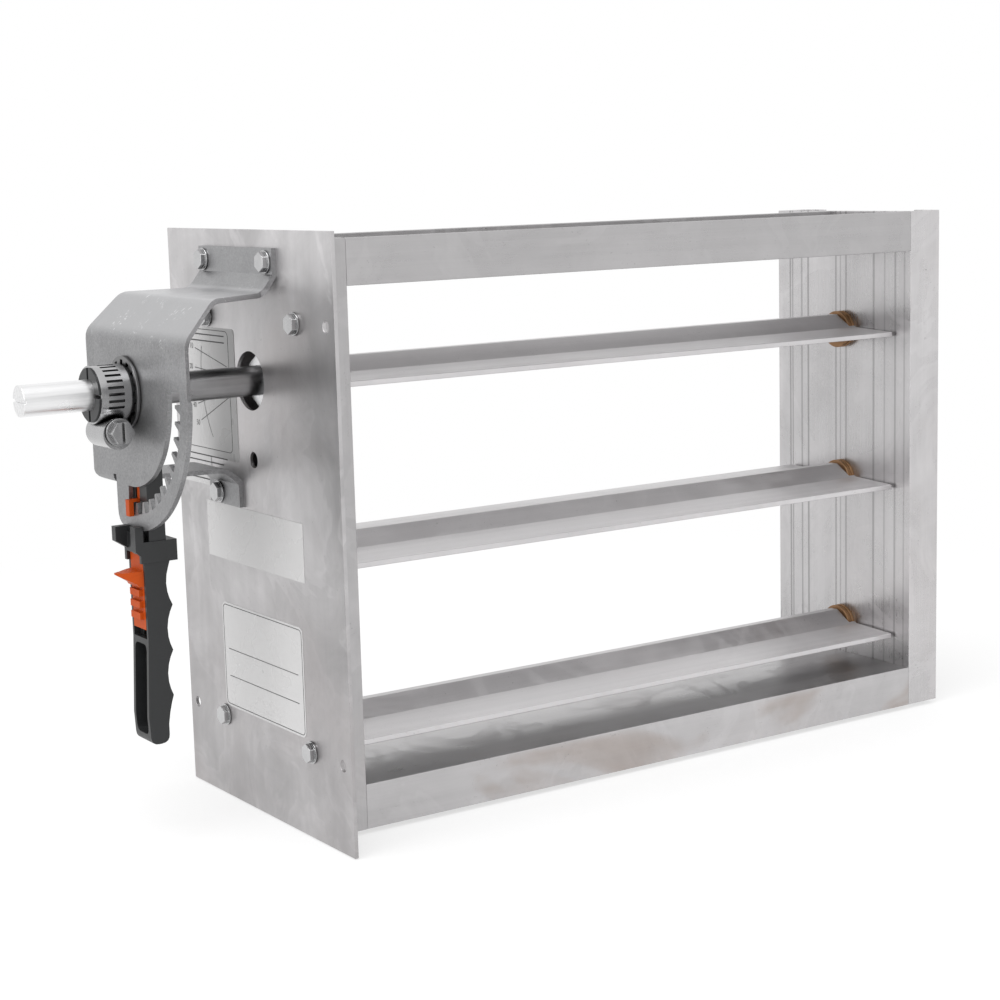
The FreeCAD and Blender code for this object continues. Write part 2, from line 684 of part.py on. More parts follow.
# Blade: hat-shaped sheet over its axle, hemmed edges, ends notched round the bearings
def blade(name, z, back_reach, hemmed_back):
    own = new_body(name)
    crest = axle_r + d.hat_gap + d.blade_sheet
    low = d.blade_sheet
    top, foot = d.hat_top_half, d.hat_foot_half
    reach = d.blade_half
    share = (back_reach - foot) / (d.blade_half - foot)
    back_end = d.back_crease + (d.back_edge - d.back_crease) * share
    outline = [
        (-reach, d.front_edge), (-foot, d.front_crease), (-top, crest), (top, crest),
        (foot, d.back_crease), (back_reach, back_end),
    ]
    if hemmed_back:
        outline += [
            (back_reach, back_end - low - d.hem_thick),
            (back_reach - d.hem_width, back_end - low - d.hem_thick),
            (back_reach - d.hem_width, back_end - low),
        ]
    else:
        outline.append((back_reach, back_end - low))
    outline += [
        (foot - d.hat_miter, d.back_crease - low), (top - d.hat_miter, crest - low),
        (d.hat_miter - top, crest - low), (d.hat_miter - foot, d.front_crease - low),
        (d.hem_width - reach, d.front_edge - low),
        (d.hem_width - reach, d.front_edge - low - d.hem_thick),
        (-reach, d.front_edge - low - d.hem_thick),
    ]
    section = sketch(own, name + "_section", "YZ_Plane", loops=[outline],
                     offset=(0, z, web_left + d.blade_end_gap))
    length = d.web_gap - 2 * d.blade_end_gap
    pad(own, name + "_sheet", section, length)
    deep = d.bush_flange_thick + d.notch_gap - d.blade_end_gap
    for side, start in (("left", web_left + d.blade_end_gap),
                        ("right", web_right - d.blade_end_gap - deep)):
        notch = sketch(own, "%s_%s_notch" % (name, side), "YZ_Plane", loops=[[
            (-d.notch_half, -crest), (d.notch_half, -crest),
            (d.notch_half, crest + 1), (-d.notch_half, crest + 1),
        ]], offset=(0, z, start))
        pocket(own, "%s_%s_end" % (name, side), notch, deep, True)
    return own


pieces["top_blade"] = blade("top_blade", axis_z[0], d.blade_half, True)
pieces["middle_blade"] = blade("middle_blade", axis_z[1], d.blade_half, True)
pieces["bottom_blade"] = blade("bottom_blade", axis_z[2], d.blade_trim, False)

# Drive shaft with a position mark across its free end, and the two short axles
shaft_end = web_right + d.wall + d.bush_tail - d.axle_end_gap
shaft_rod = rod("shaft_rod", "x", -d.shaft_reach, 0, za, axle_r, shaft_end + d.shaft_reach)
mark = box("shaft_mark", -d.shaft_reach, d.mark_depth - d.shaft_reach, -axle_r, axle_r,
           za - d.mark_width / 2, za + d.mark_width / 2)
pieces["drive_shaft"] = cut("drive_shaft", shaft_rod, mark)
axle_start = web_left - d.axle_stub
for name, z in (("middle_axle", axis_z[1]), ("bottom_axle", axis_z[2])):
    pieces[name] = rod(name, "x", axle_start, 0, z, axle_r, shaft_end - axle_start)

# Quadrant bracket: toothed sector, arm to the upper tab, strap to the lower tab
face_x = -d.bracket_face
quadrant_back_x = face_x + d.bracket_sheet
bracket = new_body("quadrant_bracket")
rim = d.quadrant_radius
at_shaft = (0, za, face_x)
sk = sketch(bracket, "rim_ring", "YZ_Plane", rings=[(0, 0, rim)], offset=at_shaft)
pad(bracket, "rim_disc", sk, d.bracket_sheet)
sk = sketch(bracket, "slot_rings", "YZ_Plane",
            rings=[(0, 0, d.slot_outer), (0, 0, d.slot_inner)], offset=at_shaft)
pocket(bracket, "slot_ring", sk, d.bracket_sheet, True)
sk = sketch(bracket, "upper_waste", "YZ_Plane", loops=[
    [(-rim - 5, 0), (rim + 5, 0), (rim + 5, rim + 5), (-rim - 5, rim + 5)],
], offset=at_shaft)
pocket(bracket, "upper_half_off", sk, d.bracket_sheet, True)
sk = sketch(bracket, "back_waste", "YZ_Plane", loops=[
    [(d.quadrant_back, -rim - 5), (rim + 5, -rim - 5), (rim + 5, 0), (d.quadrant_back, 0)],
], offset=at_shaft)
pocket(bracket, "back_off", sk, d.bracket_sheet, True)
edge_y = d.quadrant_back
edge_z = -(rim * 0.97)
sk = sketch(bracket, "foot_corner_waste", "YZ_Plane", loops=[rounded([
    (edge_y + 1, edge_z + d.foot_corner), (edge_y, edge_z + d.foot_corner), (edge_y, edge_z),
    (edge_y - d.foot_corner, -(rim * 0.9885)), (edge_y - d.foot_corner, -rim - 1),
    (edge_y + 1, -rim - 1),
], (2,), d.foot_corner * 0.95)], offset=at_shaft)
pocket(bracket, "foot_corner_off", sk, d.bracket_sheet, True)
bend = d.bracket_sheet * 0.8


# Point of the quadrant plane at a radius and an angle from straight down towards the front
def polar(radius, angle):
    return (-(radius * sine(angle)), -(radius * cosine(angle)))


over = -d.slot_over_open
sk = sketch(bracket, "slot_end_shape", "YZ_Plane", loops=[[
    polar(d.slot_inner - 1, over), polar(d.slot_outer + 1.5, over),
    (d.quadrant_back, -(d.slot_outer * 0.972)), (d.quadrant_back, -(d.slot_inner * 0.9)),
]], offset=at_shaft)
pad(bracket, "slot_end", sk, d.bracket_sheet)
strap_z = -d.strap_level
sk = sketch(bracket, "back_plate_shape", "YZ_Plane", loops=[[
    (d.quadrant_back - 1, 2), (d.quadrant_back - 1, strap_z + 2), (d.strap_inner, strap_z + 2),
    (d.strap_inner, strap_z - d.bracket_sheet), (d.bracket_back - 1, strap_z - d.bracket_sheet),
    (d.bracket_back - 1, 2),
]], offset=at_shaft)
pad(bracket, "back_plate", sk, d.bracket_sheet)
seat_x = -d.plate_thick
tab_x = seat_x - d.bracket_sheet
sk = sketch(bracket, "arm_profile", "XZ_Plane", loops=[rounded([
    (seat_x, d.bracket_top), (tab_x, d.bracket_top), (tab_x, d.bracket_tab_foot),
    (-d.bracket_arm_start, d.bracket_arm), (-d.bracket_arm_end, d.bracket_arm),
    (face_x, d.bracket_shoulder), (face_x, 0), (quadrant_back_x, 0),
    (quadrant_back_x, d.bracket_shoulder - bend * 0.55),
    (-d.bracket_arm_end + bend * 0.5, d.bracket_arm - d.bracket_sheet),
    (-d.bracket_arm_start + bend * 0.75, d.bracket_arm - d.bracket_sheet),
    (seat_x, d.bracket_tab_foot - bend * 0.5),
], (3, 4, 5, 8, 9, 10), d.bend_reach)], offset=(0, za, rim))
pad(bracket, "arm_strip", sk, rim + d.bracket_back, True)
arm_waste = [
    (1, -rim - 2), (1, -d.bracket_tab_front), (-d.bracket_arm_start, -d.bracket_tab_front),
    (-d.bracket_arm_end, -d.bracket_mid_front), (face_x, -rim), (face_x - 1, -rim - 2),
]
sk = sketch(bracket, "arm_front_waste", "XY_Plane", loops=[arm_waste], offset=(0, 0, za))
pocket(bracket, "arm_front_edge", sk, rim + d.bracket_top, True)
slot_over = d.slot_over_shut
sk = sketch(bracket, "slot_shut_end", "YZ_Plane", loops=[[
    (-d.slot_inner, -0.5), (-d.slot_outer, -0.5), polar(d.slot_outer, d.travel + slot_over),
    polar(d.slot_inner, d.travel + slot_over),
]], offset=at_shaft)
pocket(bracket, "slot_top", sk, d.bracket_sheet, True)
strap_waste_x = -d.strap_bend
sk = sketch(bracket, "strap_profile", "XZ_Plane", loops=[rounded([
    (quadrant_back_x - 0.5, strap_z), (quadrant_back_x - 0.5, strap_z - d.bracket_sheet),
    (strap_waste_x - bend * 0.5, strap_z - d.bracket_sheet), (tab_x, -d.strap_tab_top - bend),
    (tab_x, -d.strap_tab_foot), (seat_x, -d.strap_tab_foot), (seat_x, -d.strap_tab_top),
    (strap_waste_x, strap_z),
], (2, 7), d.bend_reach)], offset=(0, za, -d.strap_wide))
pad(bracket, "strap_strip", sk, d.bracket_back - d.strap_wide, True)
step = d.strap_inner - d.strap_wide
sk = sketch(bracket, "strap_waste", "XY_Plane", loops=[[
    (quadrant_back_x - 1, d.strap_wide - 1), (-d.strap_bend - 4, d.strap_wide - 1),
    (-d.strap_bend - 4, d.strap_wide), (quadrant_back_x - 1, d.strap_inner),
]], offset=(0, 0, za + strap_z - d.bracket_sheet - 0.5))
pocket(bracket, "strap_edge", sk, d.bracket_sheet + 1, True)
low_edge = strap_z - d.bracket_sheet
sk = sketch(bracket, "strap_bend_waste", "XZ_Plane", loops=[rounded([
    (face_x - 1, low_edge + d.strap_curve), (face_x, low_edge + d.strap_curve),
    (face_x, low_edge), (face_x + d.strap_curve, low_edge),
    (face_x + d.strap_curve, low_edge - 1), (face_x - 1, low_edge - 1),
], (2,), d.strap_curve * 0.95)], offset=(0, za, -d.strap_inner))
pad_depth = d.bracket_back - d.strap_inner + 1
pocket(bracket, "strap_bend_round", sk, pad_depth)
sk = sketch(bracket, "back_corner_waste", "YZ_Plane", loops=[rounded([
    (d.bracket_back + 1, low_edge + d.back_corner), (d.bracket_back, low_edge + d.back_corner),
    (d.bracket_back, low_edge), (d.bracket_back - d.back_corner, low_edge),
    (d.bracket_back - d.back_corner, low_edge - 1), (d.bracket_back + 1, low_edge - 1),
], (2,), d.back_corner * 0.95)], offset=at_shaft)
pocket(bracket, "back_corner_off", sk, d.bracket_sheet + d.strap_curve, True)
half_pitch = d.travel / d.tooth_count / 2
sk = sketch(bracket, "tooth_shape", "YZ_Plane", loops=[[
    polar(d.slot_outer + 0.6, half_pitch - d.tooth_root_low),
    polar(d.slot_outer + 0.6, half_pitch + d.tooth_side),
    polar(d.tooth_tip, half_pitch + d.tooth_side),
    polar(d.tooth_tip, half_pitch + d.tooth_tip_low),
]], offset=at_shaft)
tooth = pad(bracket, "tooth", sk, d.bracket_sheet)
teeth = bracket.newObject("PartDesign::PolarPattern", "teeth")
teeth.Originals = [tooth]
teeth.Axis = (sk, ["N_Axis"])
count = round(d.tooth_count.value)
pitch = d.travel / d.tooth_count
bind(teeth, "Angle", pitch * (count - 1))
teeth.Occurrences = count
teeth.Reversed = True
bracket.Tip = teeth
doc.recompute()
rings = [(y, z - za, screw_hole) for y, z in bracket_screw_spots]
sk = sketch(bracket, "tab_hole_rings", "YZ_Plane", rings=rings, offset=(0, za, tab_x))
pocket(bracket, "tab_holes", sk, d.bracket_sheet, True)
sleeve_hole = d.sleeve_radius + d.sleeve_bore_gap
sk = sketch(bracket, "sleeve_ring", "YZ_Plane", rings=[(0, 0, sleeve_hole)], offset=at_shaft)
pocket(bracket, "sleeve_hole", sk, d.bracket_sheet, True)
pieces["quadrant_bracket"] = bracket

# Handle: hub and split sleeve on the shaft, arm behind the quadrant, fork over its rim, grip
hub_out = quadrant_back_x + d.plate_gap
hub_in = -d.hub_inner
peak = -d.grip_peak
valley = -d.grip_valley
grip_out = -d.grip_face
fork_out = face_x - 0.3 - d.fork_thick
grip_z = za - d.fork_low
fork_z = za - d.fork_high
foot_z = za - d.grip_foot
hub = rod("handle_hub", "x", hub_out, 0, za, d.hub_radius, hub_in - hub_out)
sleeve = rod("handle_sleeve", "x", -d.sleeve_end, 0, za, d.sleeve_radius,
             hub_out + d.sleeve_end + 1)
arm = box("handle_arm", hub_out, -d.arm_inner, -d.grip_front, d.grip_back, grip_z, za)
cross = box("fork_cross", fork_out, -d.cross_inner, -d.fork_front_out, d.fork_back_out,
            grip_z, fork_z)
fill = box("fork_fill", fork_out, hub_out, -d.fork_front_in, d.fork_back_in,
           grip_z, za - rim - d.rim_gap)
prong = new_body("fork_front")
sk = sketch(prong, "fork_front_shape", "XZ_Plane", loops=[[
    (fork_out + d.fork_thick, za - d.fork_front_top),
    (-d.fork_front_face, za - d.fork_front_top), (-d.fork_front_face, za - d.fork_front_low),
    (fork_out + 3, grip_z + 0.5), (fork_out + 3, fork_z - 0.5),
    (fork_out + d.fork_thick, fork_z - 0.5),
]], offset=(0, 0, d.fork_front_in))
pad(prong, "fork_front_block", sk, d.fork_front_out - d.fork_front_in)
prong_body = new_body("fork_back")
sk = sketch(prong_body, "fork_back_shape", "XZ_Plane", loops=[[
    (fork_out + d.fork_thick, za - d.fork_back_top), (-d.fork_back_face, za - d.fork_back_top),
    (-d.fork_back_face, za - d.fork_back_low + 3), (fork_out + 1, za - d.fork_back_low - 1),
    (fork_out + d.fork_thick, za - d.fork_back_low - 1),
]], offset=(0, 0, -d.fork_back_out))
pad(prong_body, "fork_back_block", sk, d.fork_back_out - d.fork_back_in)
grip = new_body("grip")
ridge = [za - d.grip_ridge_one - d.grip_ridge_pitch * i for i in range(3)]
outline = [(grip_out, grip_z + 1), (peak, grip_z + 1)]
top_arc = grip_z - ridge[0]
for i in range(3):
    for part in (0.85, 0.7, 0.5, 0.3, 0.15, 0.0):
        dip = (2 * part - 1) ** 2
        rise = (top_arc if i == 0 else d.grip_ridge_pitch) * part
        lean = d.grip_lean * max(i - part, 0)
        outline.append((valley + (peak - valley) * dip - lean, ridge[i] + rise))
tail = ridge[2] - foot_z
for part in (0.15, 0.35, 0.6):
    dip = (1.3 * part - 1) ** 2
    outline.append((valley + (peak - valley) * dip - d.grip_lean * (2 + part),
                    ridge[2] - tail * part))
outline += [
    (valley - d.grip_lean * 2.5, foot_z + 0.3), (grip_out - d.grip_lean * 1.2, foot_z),
    (grip_out - d.grip_lean * 2, ridge[2] - tail * 0.4),
    (grip_out, za - d.grip_recess_top + d.grip_rim),
]
corner = len(outline) - 4
outline = rounded(outline, (corner, corner + 1), d.grip_corner)
sk = sketch(grip, "grip_outline", "XZ_Plane", loops=[outline], offset=(0, 0, d.grip_front))
pad(grip, "grip_block", sk, d.grip_front + d.grip_back, True)
handle_solid = join("handle_solid", [hub, sleeve, arm, cross, fill, prong, prong_body, grip])

# Openings in the handle: bore, sleeve slits, trigger guide, trigger window, grip recess
stem_out = -d.stem_front
stem_in = stem_out + d.stem_thick
guide_half = d.pawl_width / 2 + d.guide_gap
pawl_foot = za - d.tooth_tip + d.tooth_gap
neck_top = pawl_foot + d.pawl_neck
pawl_top = pawl_foot + d.pawl_stem
trig_top = za - d.trigger_top
trig_foot = za - d.trigger_foot
window_foot = trig_foot - d.trigger_travel - d.guide_gap
stem_foot = trig_foot + 1
spring_x = stem_in + d.spring_radius + d.spring_wire / 2 + 0.2
shelf_in = stem_in + d.shelf_deep
spring_top = grip_z - 1.5
shelf_top = spring_top - d.spring_length
room_foot = window_foot
bore = rod("handle_bore", "x", -d.sleeve_end - 1, 0, za, axle_r + d.seat_gap,
           d.sleeve_end + 1 + hub_in + 1)
slit_a = box("sleeve_slit_a", -d.sleeve_end - 1, d.sleeve_slit_length - d.sleeve_end,
             -d.sleeve_radius - 1, d.sleeve_radius + 1,
             za - d.sleeve_slit / 2, za + d.sleeve_slit / 2)
slit_b = box("sleeve_slit_b", -d.sleeve_end - 1, d.sleeve_slit_length - d.sleeve_end,
             -(d.sleeve_slit / 2), d.sleeve_slit / 2,
             za - d.sleeve_radius - 1, za + d.sleeve_radius + 1)
guide = box("trigger_guide", hub_out - 1, stem_in + d.guide_gap, -guide_half, guide_half,
            spring_top - 0.5, pawl_top + d.guide_gap + 0.3)
room = box("trigger_room", stem_out - d.guide_gap, shelf_in + d.guide_gap,
           -guide_half, guide_half, room_foot, spring_top)
window = box("trigger_window", fork_out - 1, stem_out - d.guide_gap,
             -(d.trigger_front + d.guide_gap), d.trigger_back + d.guide_gap,
             window_foot, trig_top + d.guide_gap)
rim_slot = box("fork_slot", stem_out - d.guide_gap, stem_in + d.guide_gap, -guide_half,
               guide_half, grip_z - 1, fork_z + 1)
recess = new_body("grip_recess")
recess_foot = foot_z + d.grip_recess_wall
sk = sketch(recess, "grip_recess_outline", "YZ_Plane", loops=[rounded([
    (d.grip_rim - d.grip_front, recess_foot), (d.grip_back - d.grip_rim, recess_foot),
    (d.grip_back - d.grip_rim, za - d.grip_recess_top),
    (d.grip_rim - d.grip_front, za - d.grip_recess_top),
], (0, 1, 2, 3), d.grip_recess_corner)], offset=(0, 0, grip_out - 4))
pad(recess, "grip_recess_block", sk, d.grip_recess_depth + 4)
handle_voids = join("handle_voids",
                    [bore, slit_a, slit_b, guide, room, window, rim_slot, recess])
pieces["handle"] = cut("handle", handle_solid, handle_voids)

# Trigger: finger face in front, web through the window, stem behind the quadrant, pawl
pawl_half = d.pawl_width / 2
face_front = grip_out
face_rear = grip_out + d.trigger_thick
stem = box("trigger_stem", stem_out, stem_in, -pawl_half, pawl_half, stem_foot, pawl_top)
head_in = face_x - 0.3
neck = box("trigger_neck", head_in - 1, stem_out + 0.5, -pawl_half, pawl_half,
           pawl_foot, neck_top)
pawl = box("trigger_pawl", head_in - d.pawl_head_thick, head_in, -pawl_half, pawl_half,
           neck_top - d.pawl_head, neck_top)
web = box("trigger_web", face_rear - 0.5, stem_out + 0.5, -pawl_half, pawl_half,
          stem_foot, trig_top)
shelf = box("trigger_shelf", stem_in - 0.5, shelf_in, -pawl_half, pawl_half,
            shelf_top - d.shelf_thick, shelf_top)
face_plate = box("trigger_face", face_front, face_rear, -d.trigger_front, d.trigger_back,
                 trig_foot, trig_top)
hook_side = new_body("hook_side")
hook_z = trig_top - d.hook_drop
hook_foot = hook_z - d.hook_root
sk = sketch(hook_side, "hook_side_shape", "XZ_Plane", loops=[[
    (face_front + 0.5, hook_z + 0.3), (-d.hook_reach + 3, hook_z - 0.1),
    (-d.hook_reach, hook_z), (-d.hook_reach + 0.2, hook_z - 0.8),
    (-d.hook_reach + 4, hook_z - 3.0), (face_front - 2.6, hook_foot + 1.2),
    (face_front - 1.8, hook_foot), (face_front + 0.5, hook_foot),
]], offset=(0, 0, -d.trigger_back))
pad(hook_side, "hook_side_block", sk, d.trigger_front + d.trigger_back)
hook_plan = new_body("hook_plan")
hook_mid = (d.trigger_back - d.trigger_front) / 2
sk = sketch(hook_plan, "hook_plan_shape", "XY_Plane", loops=[[
    (face_front + 0.5, -d.trigger_front), (face_front + 0.5, d.trigger_back),
    (face_front - 3, d.trigger_back - 0.9), (-d.hook_reach + 2, hook_mid + d.hook_tip * 3),
    (-d.hook_reach, hook_mid + d.hook_tip), (-d.hook_reach, hook_mid - d.hook_tip),
    (-d.hook_reach + 2, hook_mid - d.hook_tip * 3), (face_front - 3, 0.9 - d.trigger_front),
]], offset=(0, 0, hook_foot - 1))
pad(hook_plan, "hook_plan_block", sk, d.hook_root + 2)
hook = common("trigger_hook", hook_side, hook_plan)
blocks = []
for i in range(round(d.ridge_count.value)):
    mid = trig_top - d.ridge_first - d.ridge_pitch * i
    blocks.append(box("trigger_ridge_%d" % i, face_front - d.ridge_tall, face_front + 0.5,
                      d.ridge_inset - d.trigger_front, d.trigger_back - d.ridge_inset,
                      mid - d.ridge_width / 2, mid + d.ridge_width / 2))
pieces["trigger"] = join("trigger", [stem, neck, pawl, web, shelf, face_plate, hook] + blocks)

# Return spring between the stem's shelf and the guide's roof
coil = doc.addObject("Part::Helix", "spring_path")
bind(coil, "Pitch", d.spring_pitch)
bind(coil, "Height", d.spring_length - d.spring_wire)
bind(coil, "Radius", d.spring_radius)
coil_foot = shelf_top + d.spring_wire / 2
put(coil, spring_x, 0, coil_foot)
wire = doc.addObject("Part::Circle", "spring_wire_section")
bind(wire, "Radius", d.spring_wire / 2)
put(wire, spring_x + d.spring_radius, 0, coil_foot,
    FreeCAD.Rotation(FreeCAD.Vector(1, 0, 0), 90))
spring = doc.addObject("Part::Sweep", "trigger_spring")
spring.Sections = [wire]
spring.Spine = (coil, ["Edge1"])
spring.Solid = True
spring.Frenet = True
pieces["trigger_spring"] = spring

# Retaining ring on the sleeve, notched round its inner edge
ring_x = face_x - d.ring_stand - d.ring_thick
ring_disc = rod("ring_disc", "x", ring_x, 0, za, d.ring_radius, d.ring_thick)
voids = [rod("ring_bore", "x", ring_x - 1, 0, za, d.sleeve_radius + d.seat_gap,
             d.ring_thick + 2)]
notch_count = round(d.ring_notches.value)
for i in range(notch_count):
    notch = doc.addObject("Part::Box", "ring_notch_%d" % i)
    bind(notch, "Length", d.ring_thick + 2)
    bind(notch, "Width", d.ring_notch_width)
    bind(notch, "Height", d.ring_notch_out)
    angle = 360.0 * i / notch_count
    shift = d.ring_notch_width / 2
    turn = FreeCAD.Rotation(FreeCAD.Vector(1, 0, 0), angle)
    put(notch, ring_x - 1, -(shift * cosine(angle)), za - shift * sine(angle), turn)
    voids.append(notch)
pieces["retaining_ring"] = cut("retaining_ring", ring_disc, join("ring_voids", voids))

# Hose clamp on the sleeve: slotted band, screw along the airflow, housing
band_out = -d.band_near - d.band_width
band_r = d.sleeve_radius + d.seat_gap
band_rod = rod("band_rod", "x", band_out, 0, za, band_r + d.band_thick, d.band_width)
voids = [rod("band_bore", "x", band_out - 1, 0, za, band_r, d.band_width + 2)]
slot_count = round(d.band_slots.value)
for i in range(slot_count):
    slot = doc.addObject("Part::Box", "band_slot_%d" % i)
    bind(slot, "Length", d.band_slot_length)
    bind(slot, "Width", d.band_slot_width)
    bind(slot, "Height", band_r + d.band_thick + 1)
    angle = (i - (slot_count - 1) / 2.0) * d.band_slot_angle.value
    shift = d.band_slot_width / 2
    turn = FreeCAD.Rotation(FreeCAD.Vector(1, 0, 0), angle)
    put(slot, band_out + (d.band_width - d.band_slot_length) / 2,
        -(shift * cosine(angle)), za - shift * sine(angle), turn)
    voids.append(slot)
worm_x = band_out + d.band_width / 2
worm_z = za - d.worm_drop
worm_r = d.worm_dia / 2
house_r = worm_r + d.worm_gap
house_long = d.housing_front + d.housing_back
voids.append(rod("band_worm", "y", worm_x, -d.housing_front - 1, worm_z, house_r,
                 house_long + 2))
pieces["clamp_band"] = cut("clamp_band", band_rod, join("band_voids", voids))
worm_start = -d.housing_front - d.housing_stand
worm = rod("worm_thread", "y", worm_x, worm_start, worm_z, worm_r, d.worm_length)
collar = rod("worm_collar_disc", "y", worm_x, worm_start - d.worm_collar, worm_z,
             d.worm_collar_dia / 2, d.worm_collar)
head_end = worm_start - d.worm_collar - d.worm_head
head = hexrod("worm_hex", "y", worm_x, head_end, worm_z, d.worm_head_dia / 2, d.worm_head)
screw_slot = box("worm_slot_cut", worm_x - d.worm_slot / 2, worm_x + d.worm_slot / 2,
                 head_end - 1, head_end + d.worm_slot_depth,
                 worm_z - d.worm_head_dia, worm_z + d.worm_head_dia)
pieces["clamp_screw"] = cut("clamp_screw", join("worm_solid", [worm, collar, head]), screw_slot)
house = rod("housing_round", "y", worm_x, -d.housing_front, worm_z - d.housing_drop,
            d.housing_radius, house_long)
house_voids = join("housing_voids", [
    rod("housing_bore", "y", worm_x, -d.housing_front - 1, worm_z, house_r, house_long + 2),
    rod("housing_seat", "x", worm_x - d.housing_radius - 1, 0, za,
        band_r + d.band_thick + d.seat_gap, 2 * d.housing_radius + 2),
])
pieces["clamp_housing"] = cut("clamp_housing", house, house_voids)

# Cranks on the axles inside the left channel, each with one pin for the tie bar
crank_out = d.crank_stand
crank_in = crank_out + d.crank_thick
arm_at = d.crank_radius * cosine(45)
bar_y = -arm_at
bar_out = crank_in + d.bar_gap
bar_in = bar_out + d.bar_thick
for name, z in (("top", axis_z[0]), ("middle", axis_z[1]), ("bottom", axis_z[2])):
    parts = [rod(name + "_crank_hub", "x", crank_out, 0, z, d.crank_hub, d.crank_thick)]
    for side, up in (("high", 1), ("low", -1)):
        eye = rod("%s_crank_%s_eye" % (name, side), "x", crank_out, bar_y, z + up * arm_at,
                  d.crank_eye, d.crank_thick)
        wing = new_body("%s_crank_%s_arm" % (name, side))
        across = d.crank_eye * cosine(45)
        wide = d.crank_hub * cosine(45)
        corners = [
            (wide, up * wide), (-wide, -up * wide),
            (bar_y - across, up * (arm_at - across)), (bar_y + across, up * (arm_at + across)),
        ]
        sk = sketch(wing, "%s_crank_%s_shape" % (name, side), "YZ_Plane", loops=[corners],
                    offset=(0, z, crank_out))
        pad(wing, "%s_crank_%s_pad" % (name, side), sk, d.crank_thick)
        parts += [eye, wing]
    solid = join(name + "_crank_solid", parts)
    hole = rod(name + "_crank_bore", "x", crank_out - 1, 0, z, axle_r + d.seat_gap,
               d.crank_thick + 2)
    pin_hole = rod(name + "_pin_bore", "x", crank_out - 1, bar_y, z - arm_at,
                   d.pin_dia / 2 + d.seat_gap, d.crank_thick + 2)
    spare = rod(name + "_spare_bore", "x", crank_out - 1, bar_y, z + arm_at,
                d.pin_dia / 2 + d.seat_gap, d.crank_thick + 2)
    voids = join(name + "_crank_voids", [hole, pin_hole, spare])
    pieces[name + "_crank"] = cut(name + "_crank", solid, voids)
    pin_end = bar_in + d.bar_gap + d.pin_head
    stud = rod(name + "_pin_rod", "x", crank_out, bar_y, z - arm_at, d.pin_dia / 2,
               pin_end - crank_out)
    cap = rod(name + "_pin_cap", "x", pin_end - d.pin_head, bar_y, z - arm_at,
              d.pin_head_dia / 2, d.pin_head)
    pieces[name + "_crank_pin"] = join(name + "_crank_pin", [stud, cap])

# Tie bar with its three holes
bar_half = d.bar_width / 2
bar = new_body("tie_bar")
ends = [axis_z[2] - arm_at - bar_half, axis_z[0] - arm_at + bar_half]
sk = sketch(bar, "tie_bar_outline", "YZ_Plane", loops=[[
    (bar_y - bar_half, ends[0]), (bar_y + bar_half, ends[0]),
    (bar_y + bar_half, ends[1]), (bar_y - bar_half, ends[1]),
]], offset=(0, 0, bar_out))
pad(bar, "tie_bar_strip", sk, d.bar_thick)
sk = sketch(bar, "tie_bar_rings", "YZ_Plane",
            rings=[(bar_y, z - arm_at, d.pin_dia / 2 + 2 * d.running_gap) for z in axis_z],
            offset=(0, 0, bar_out))
pocket(bar, "tie_bar_holes", sk, d.bar_thick, True)
pieces["tie_bar"] = bar

# Every object has to be sound before anything is written
doc.recompute()
for obj in doc.Objects:
    if "Invalid" in obj.State or "Error" in obj.State:
        raise RuntimeError("%s failed: %s" % (obj.Name, obj.State))
for name, obj in pieces.items():
    obj.Label = name
    shape = obj.Shape
    if shape.isNull() or not shape.isValid() or shape.Volume <= 0:
        raise RuntimeError("%s has no sound shape" % name)
os.makedirs("parts", exist_ok=True)
for name, obj in pieces.items():
    obj.Shape.exportStep(os.path.join("parts", name + ".step"))
    print("%-20s solids %d volume %.1f" % (name, len(obj.Shape.Solids), obj.Shape.Volume))
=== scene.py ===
import math

import bmesh
import bpy
import numpy as np
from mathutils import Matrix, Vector


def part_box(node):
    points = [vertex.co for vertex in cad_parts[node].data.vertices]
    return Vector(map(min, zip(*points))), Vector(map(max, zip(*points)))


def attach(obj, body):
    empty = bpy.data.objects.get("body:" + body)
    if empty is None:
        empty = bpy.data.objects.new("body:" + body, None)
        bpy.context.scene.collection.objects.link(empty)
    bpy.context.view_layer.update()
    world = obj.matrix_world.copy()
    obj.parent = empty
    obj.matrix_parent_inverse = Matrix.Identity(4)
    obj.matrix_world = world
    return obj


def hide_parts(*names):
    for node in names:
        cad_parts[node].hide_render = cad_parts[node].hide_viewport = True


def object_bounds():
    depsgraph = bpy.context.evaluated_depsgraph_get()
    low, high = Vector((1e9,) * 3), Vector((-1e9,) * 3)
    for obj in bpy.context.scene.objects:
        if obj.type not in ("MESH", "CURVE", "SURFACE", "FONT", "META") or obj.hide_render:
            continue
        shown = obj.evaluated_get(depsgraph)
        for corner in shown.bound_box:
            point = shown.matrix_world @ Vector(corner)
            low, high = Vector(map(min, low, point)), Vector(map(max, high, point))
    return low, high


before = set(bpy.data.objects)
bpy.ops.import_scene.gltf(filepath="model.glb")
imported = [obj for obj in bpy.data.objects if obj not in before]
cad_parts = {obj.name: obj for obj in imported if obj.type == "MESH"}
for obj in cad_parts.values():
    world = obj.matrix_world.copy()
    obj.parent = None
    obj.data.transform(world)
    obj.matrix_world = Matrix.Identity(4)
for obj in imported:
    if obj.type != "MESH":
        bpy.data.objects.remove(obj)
CAD_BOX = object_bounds()

bl_info = {
    "name": "Balancing damper",
    "version": (1, 0, 0),
    "blender": (4, 5, 0),
    "location": "View3D > Sidebar > Damper",
    "description": "Dresses the packed balancing damper with its surfaces and small forms",
    "category": "Object",
}

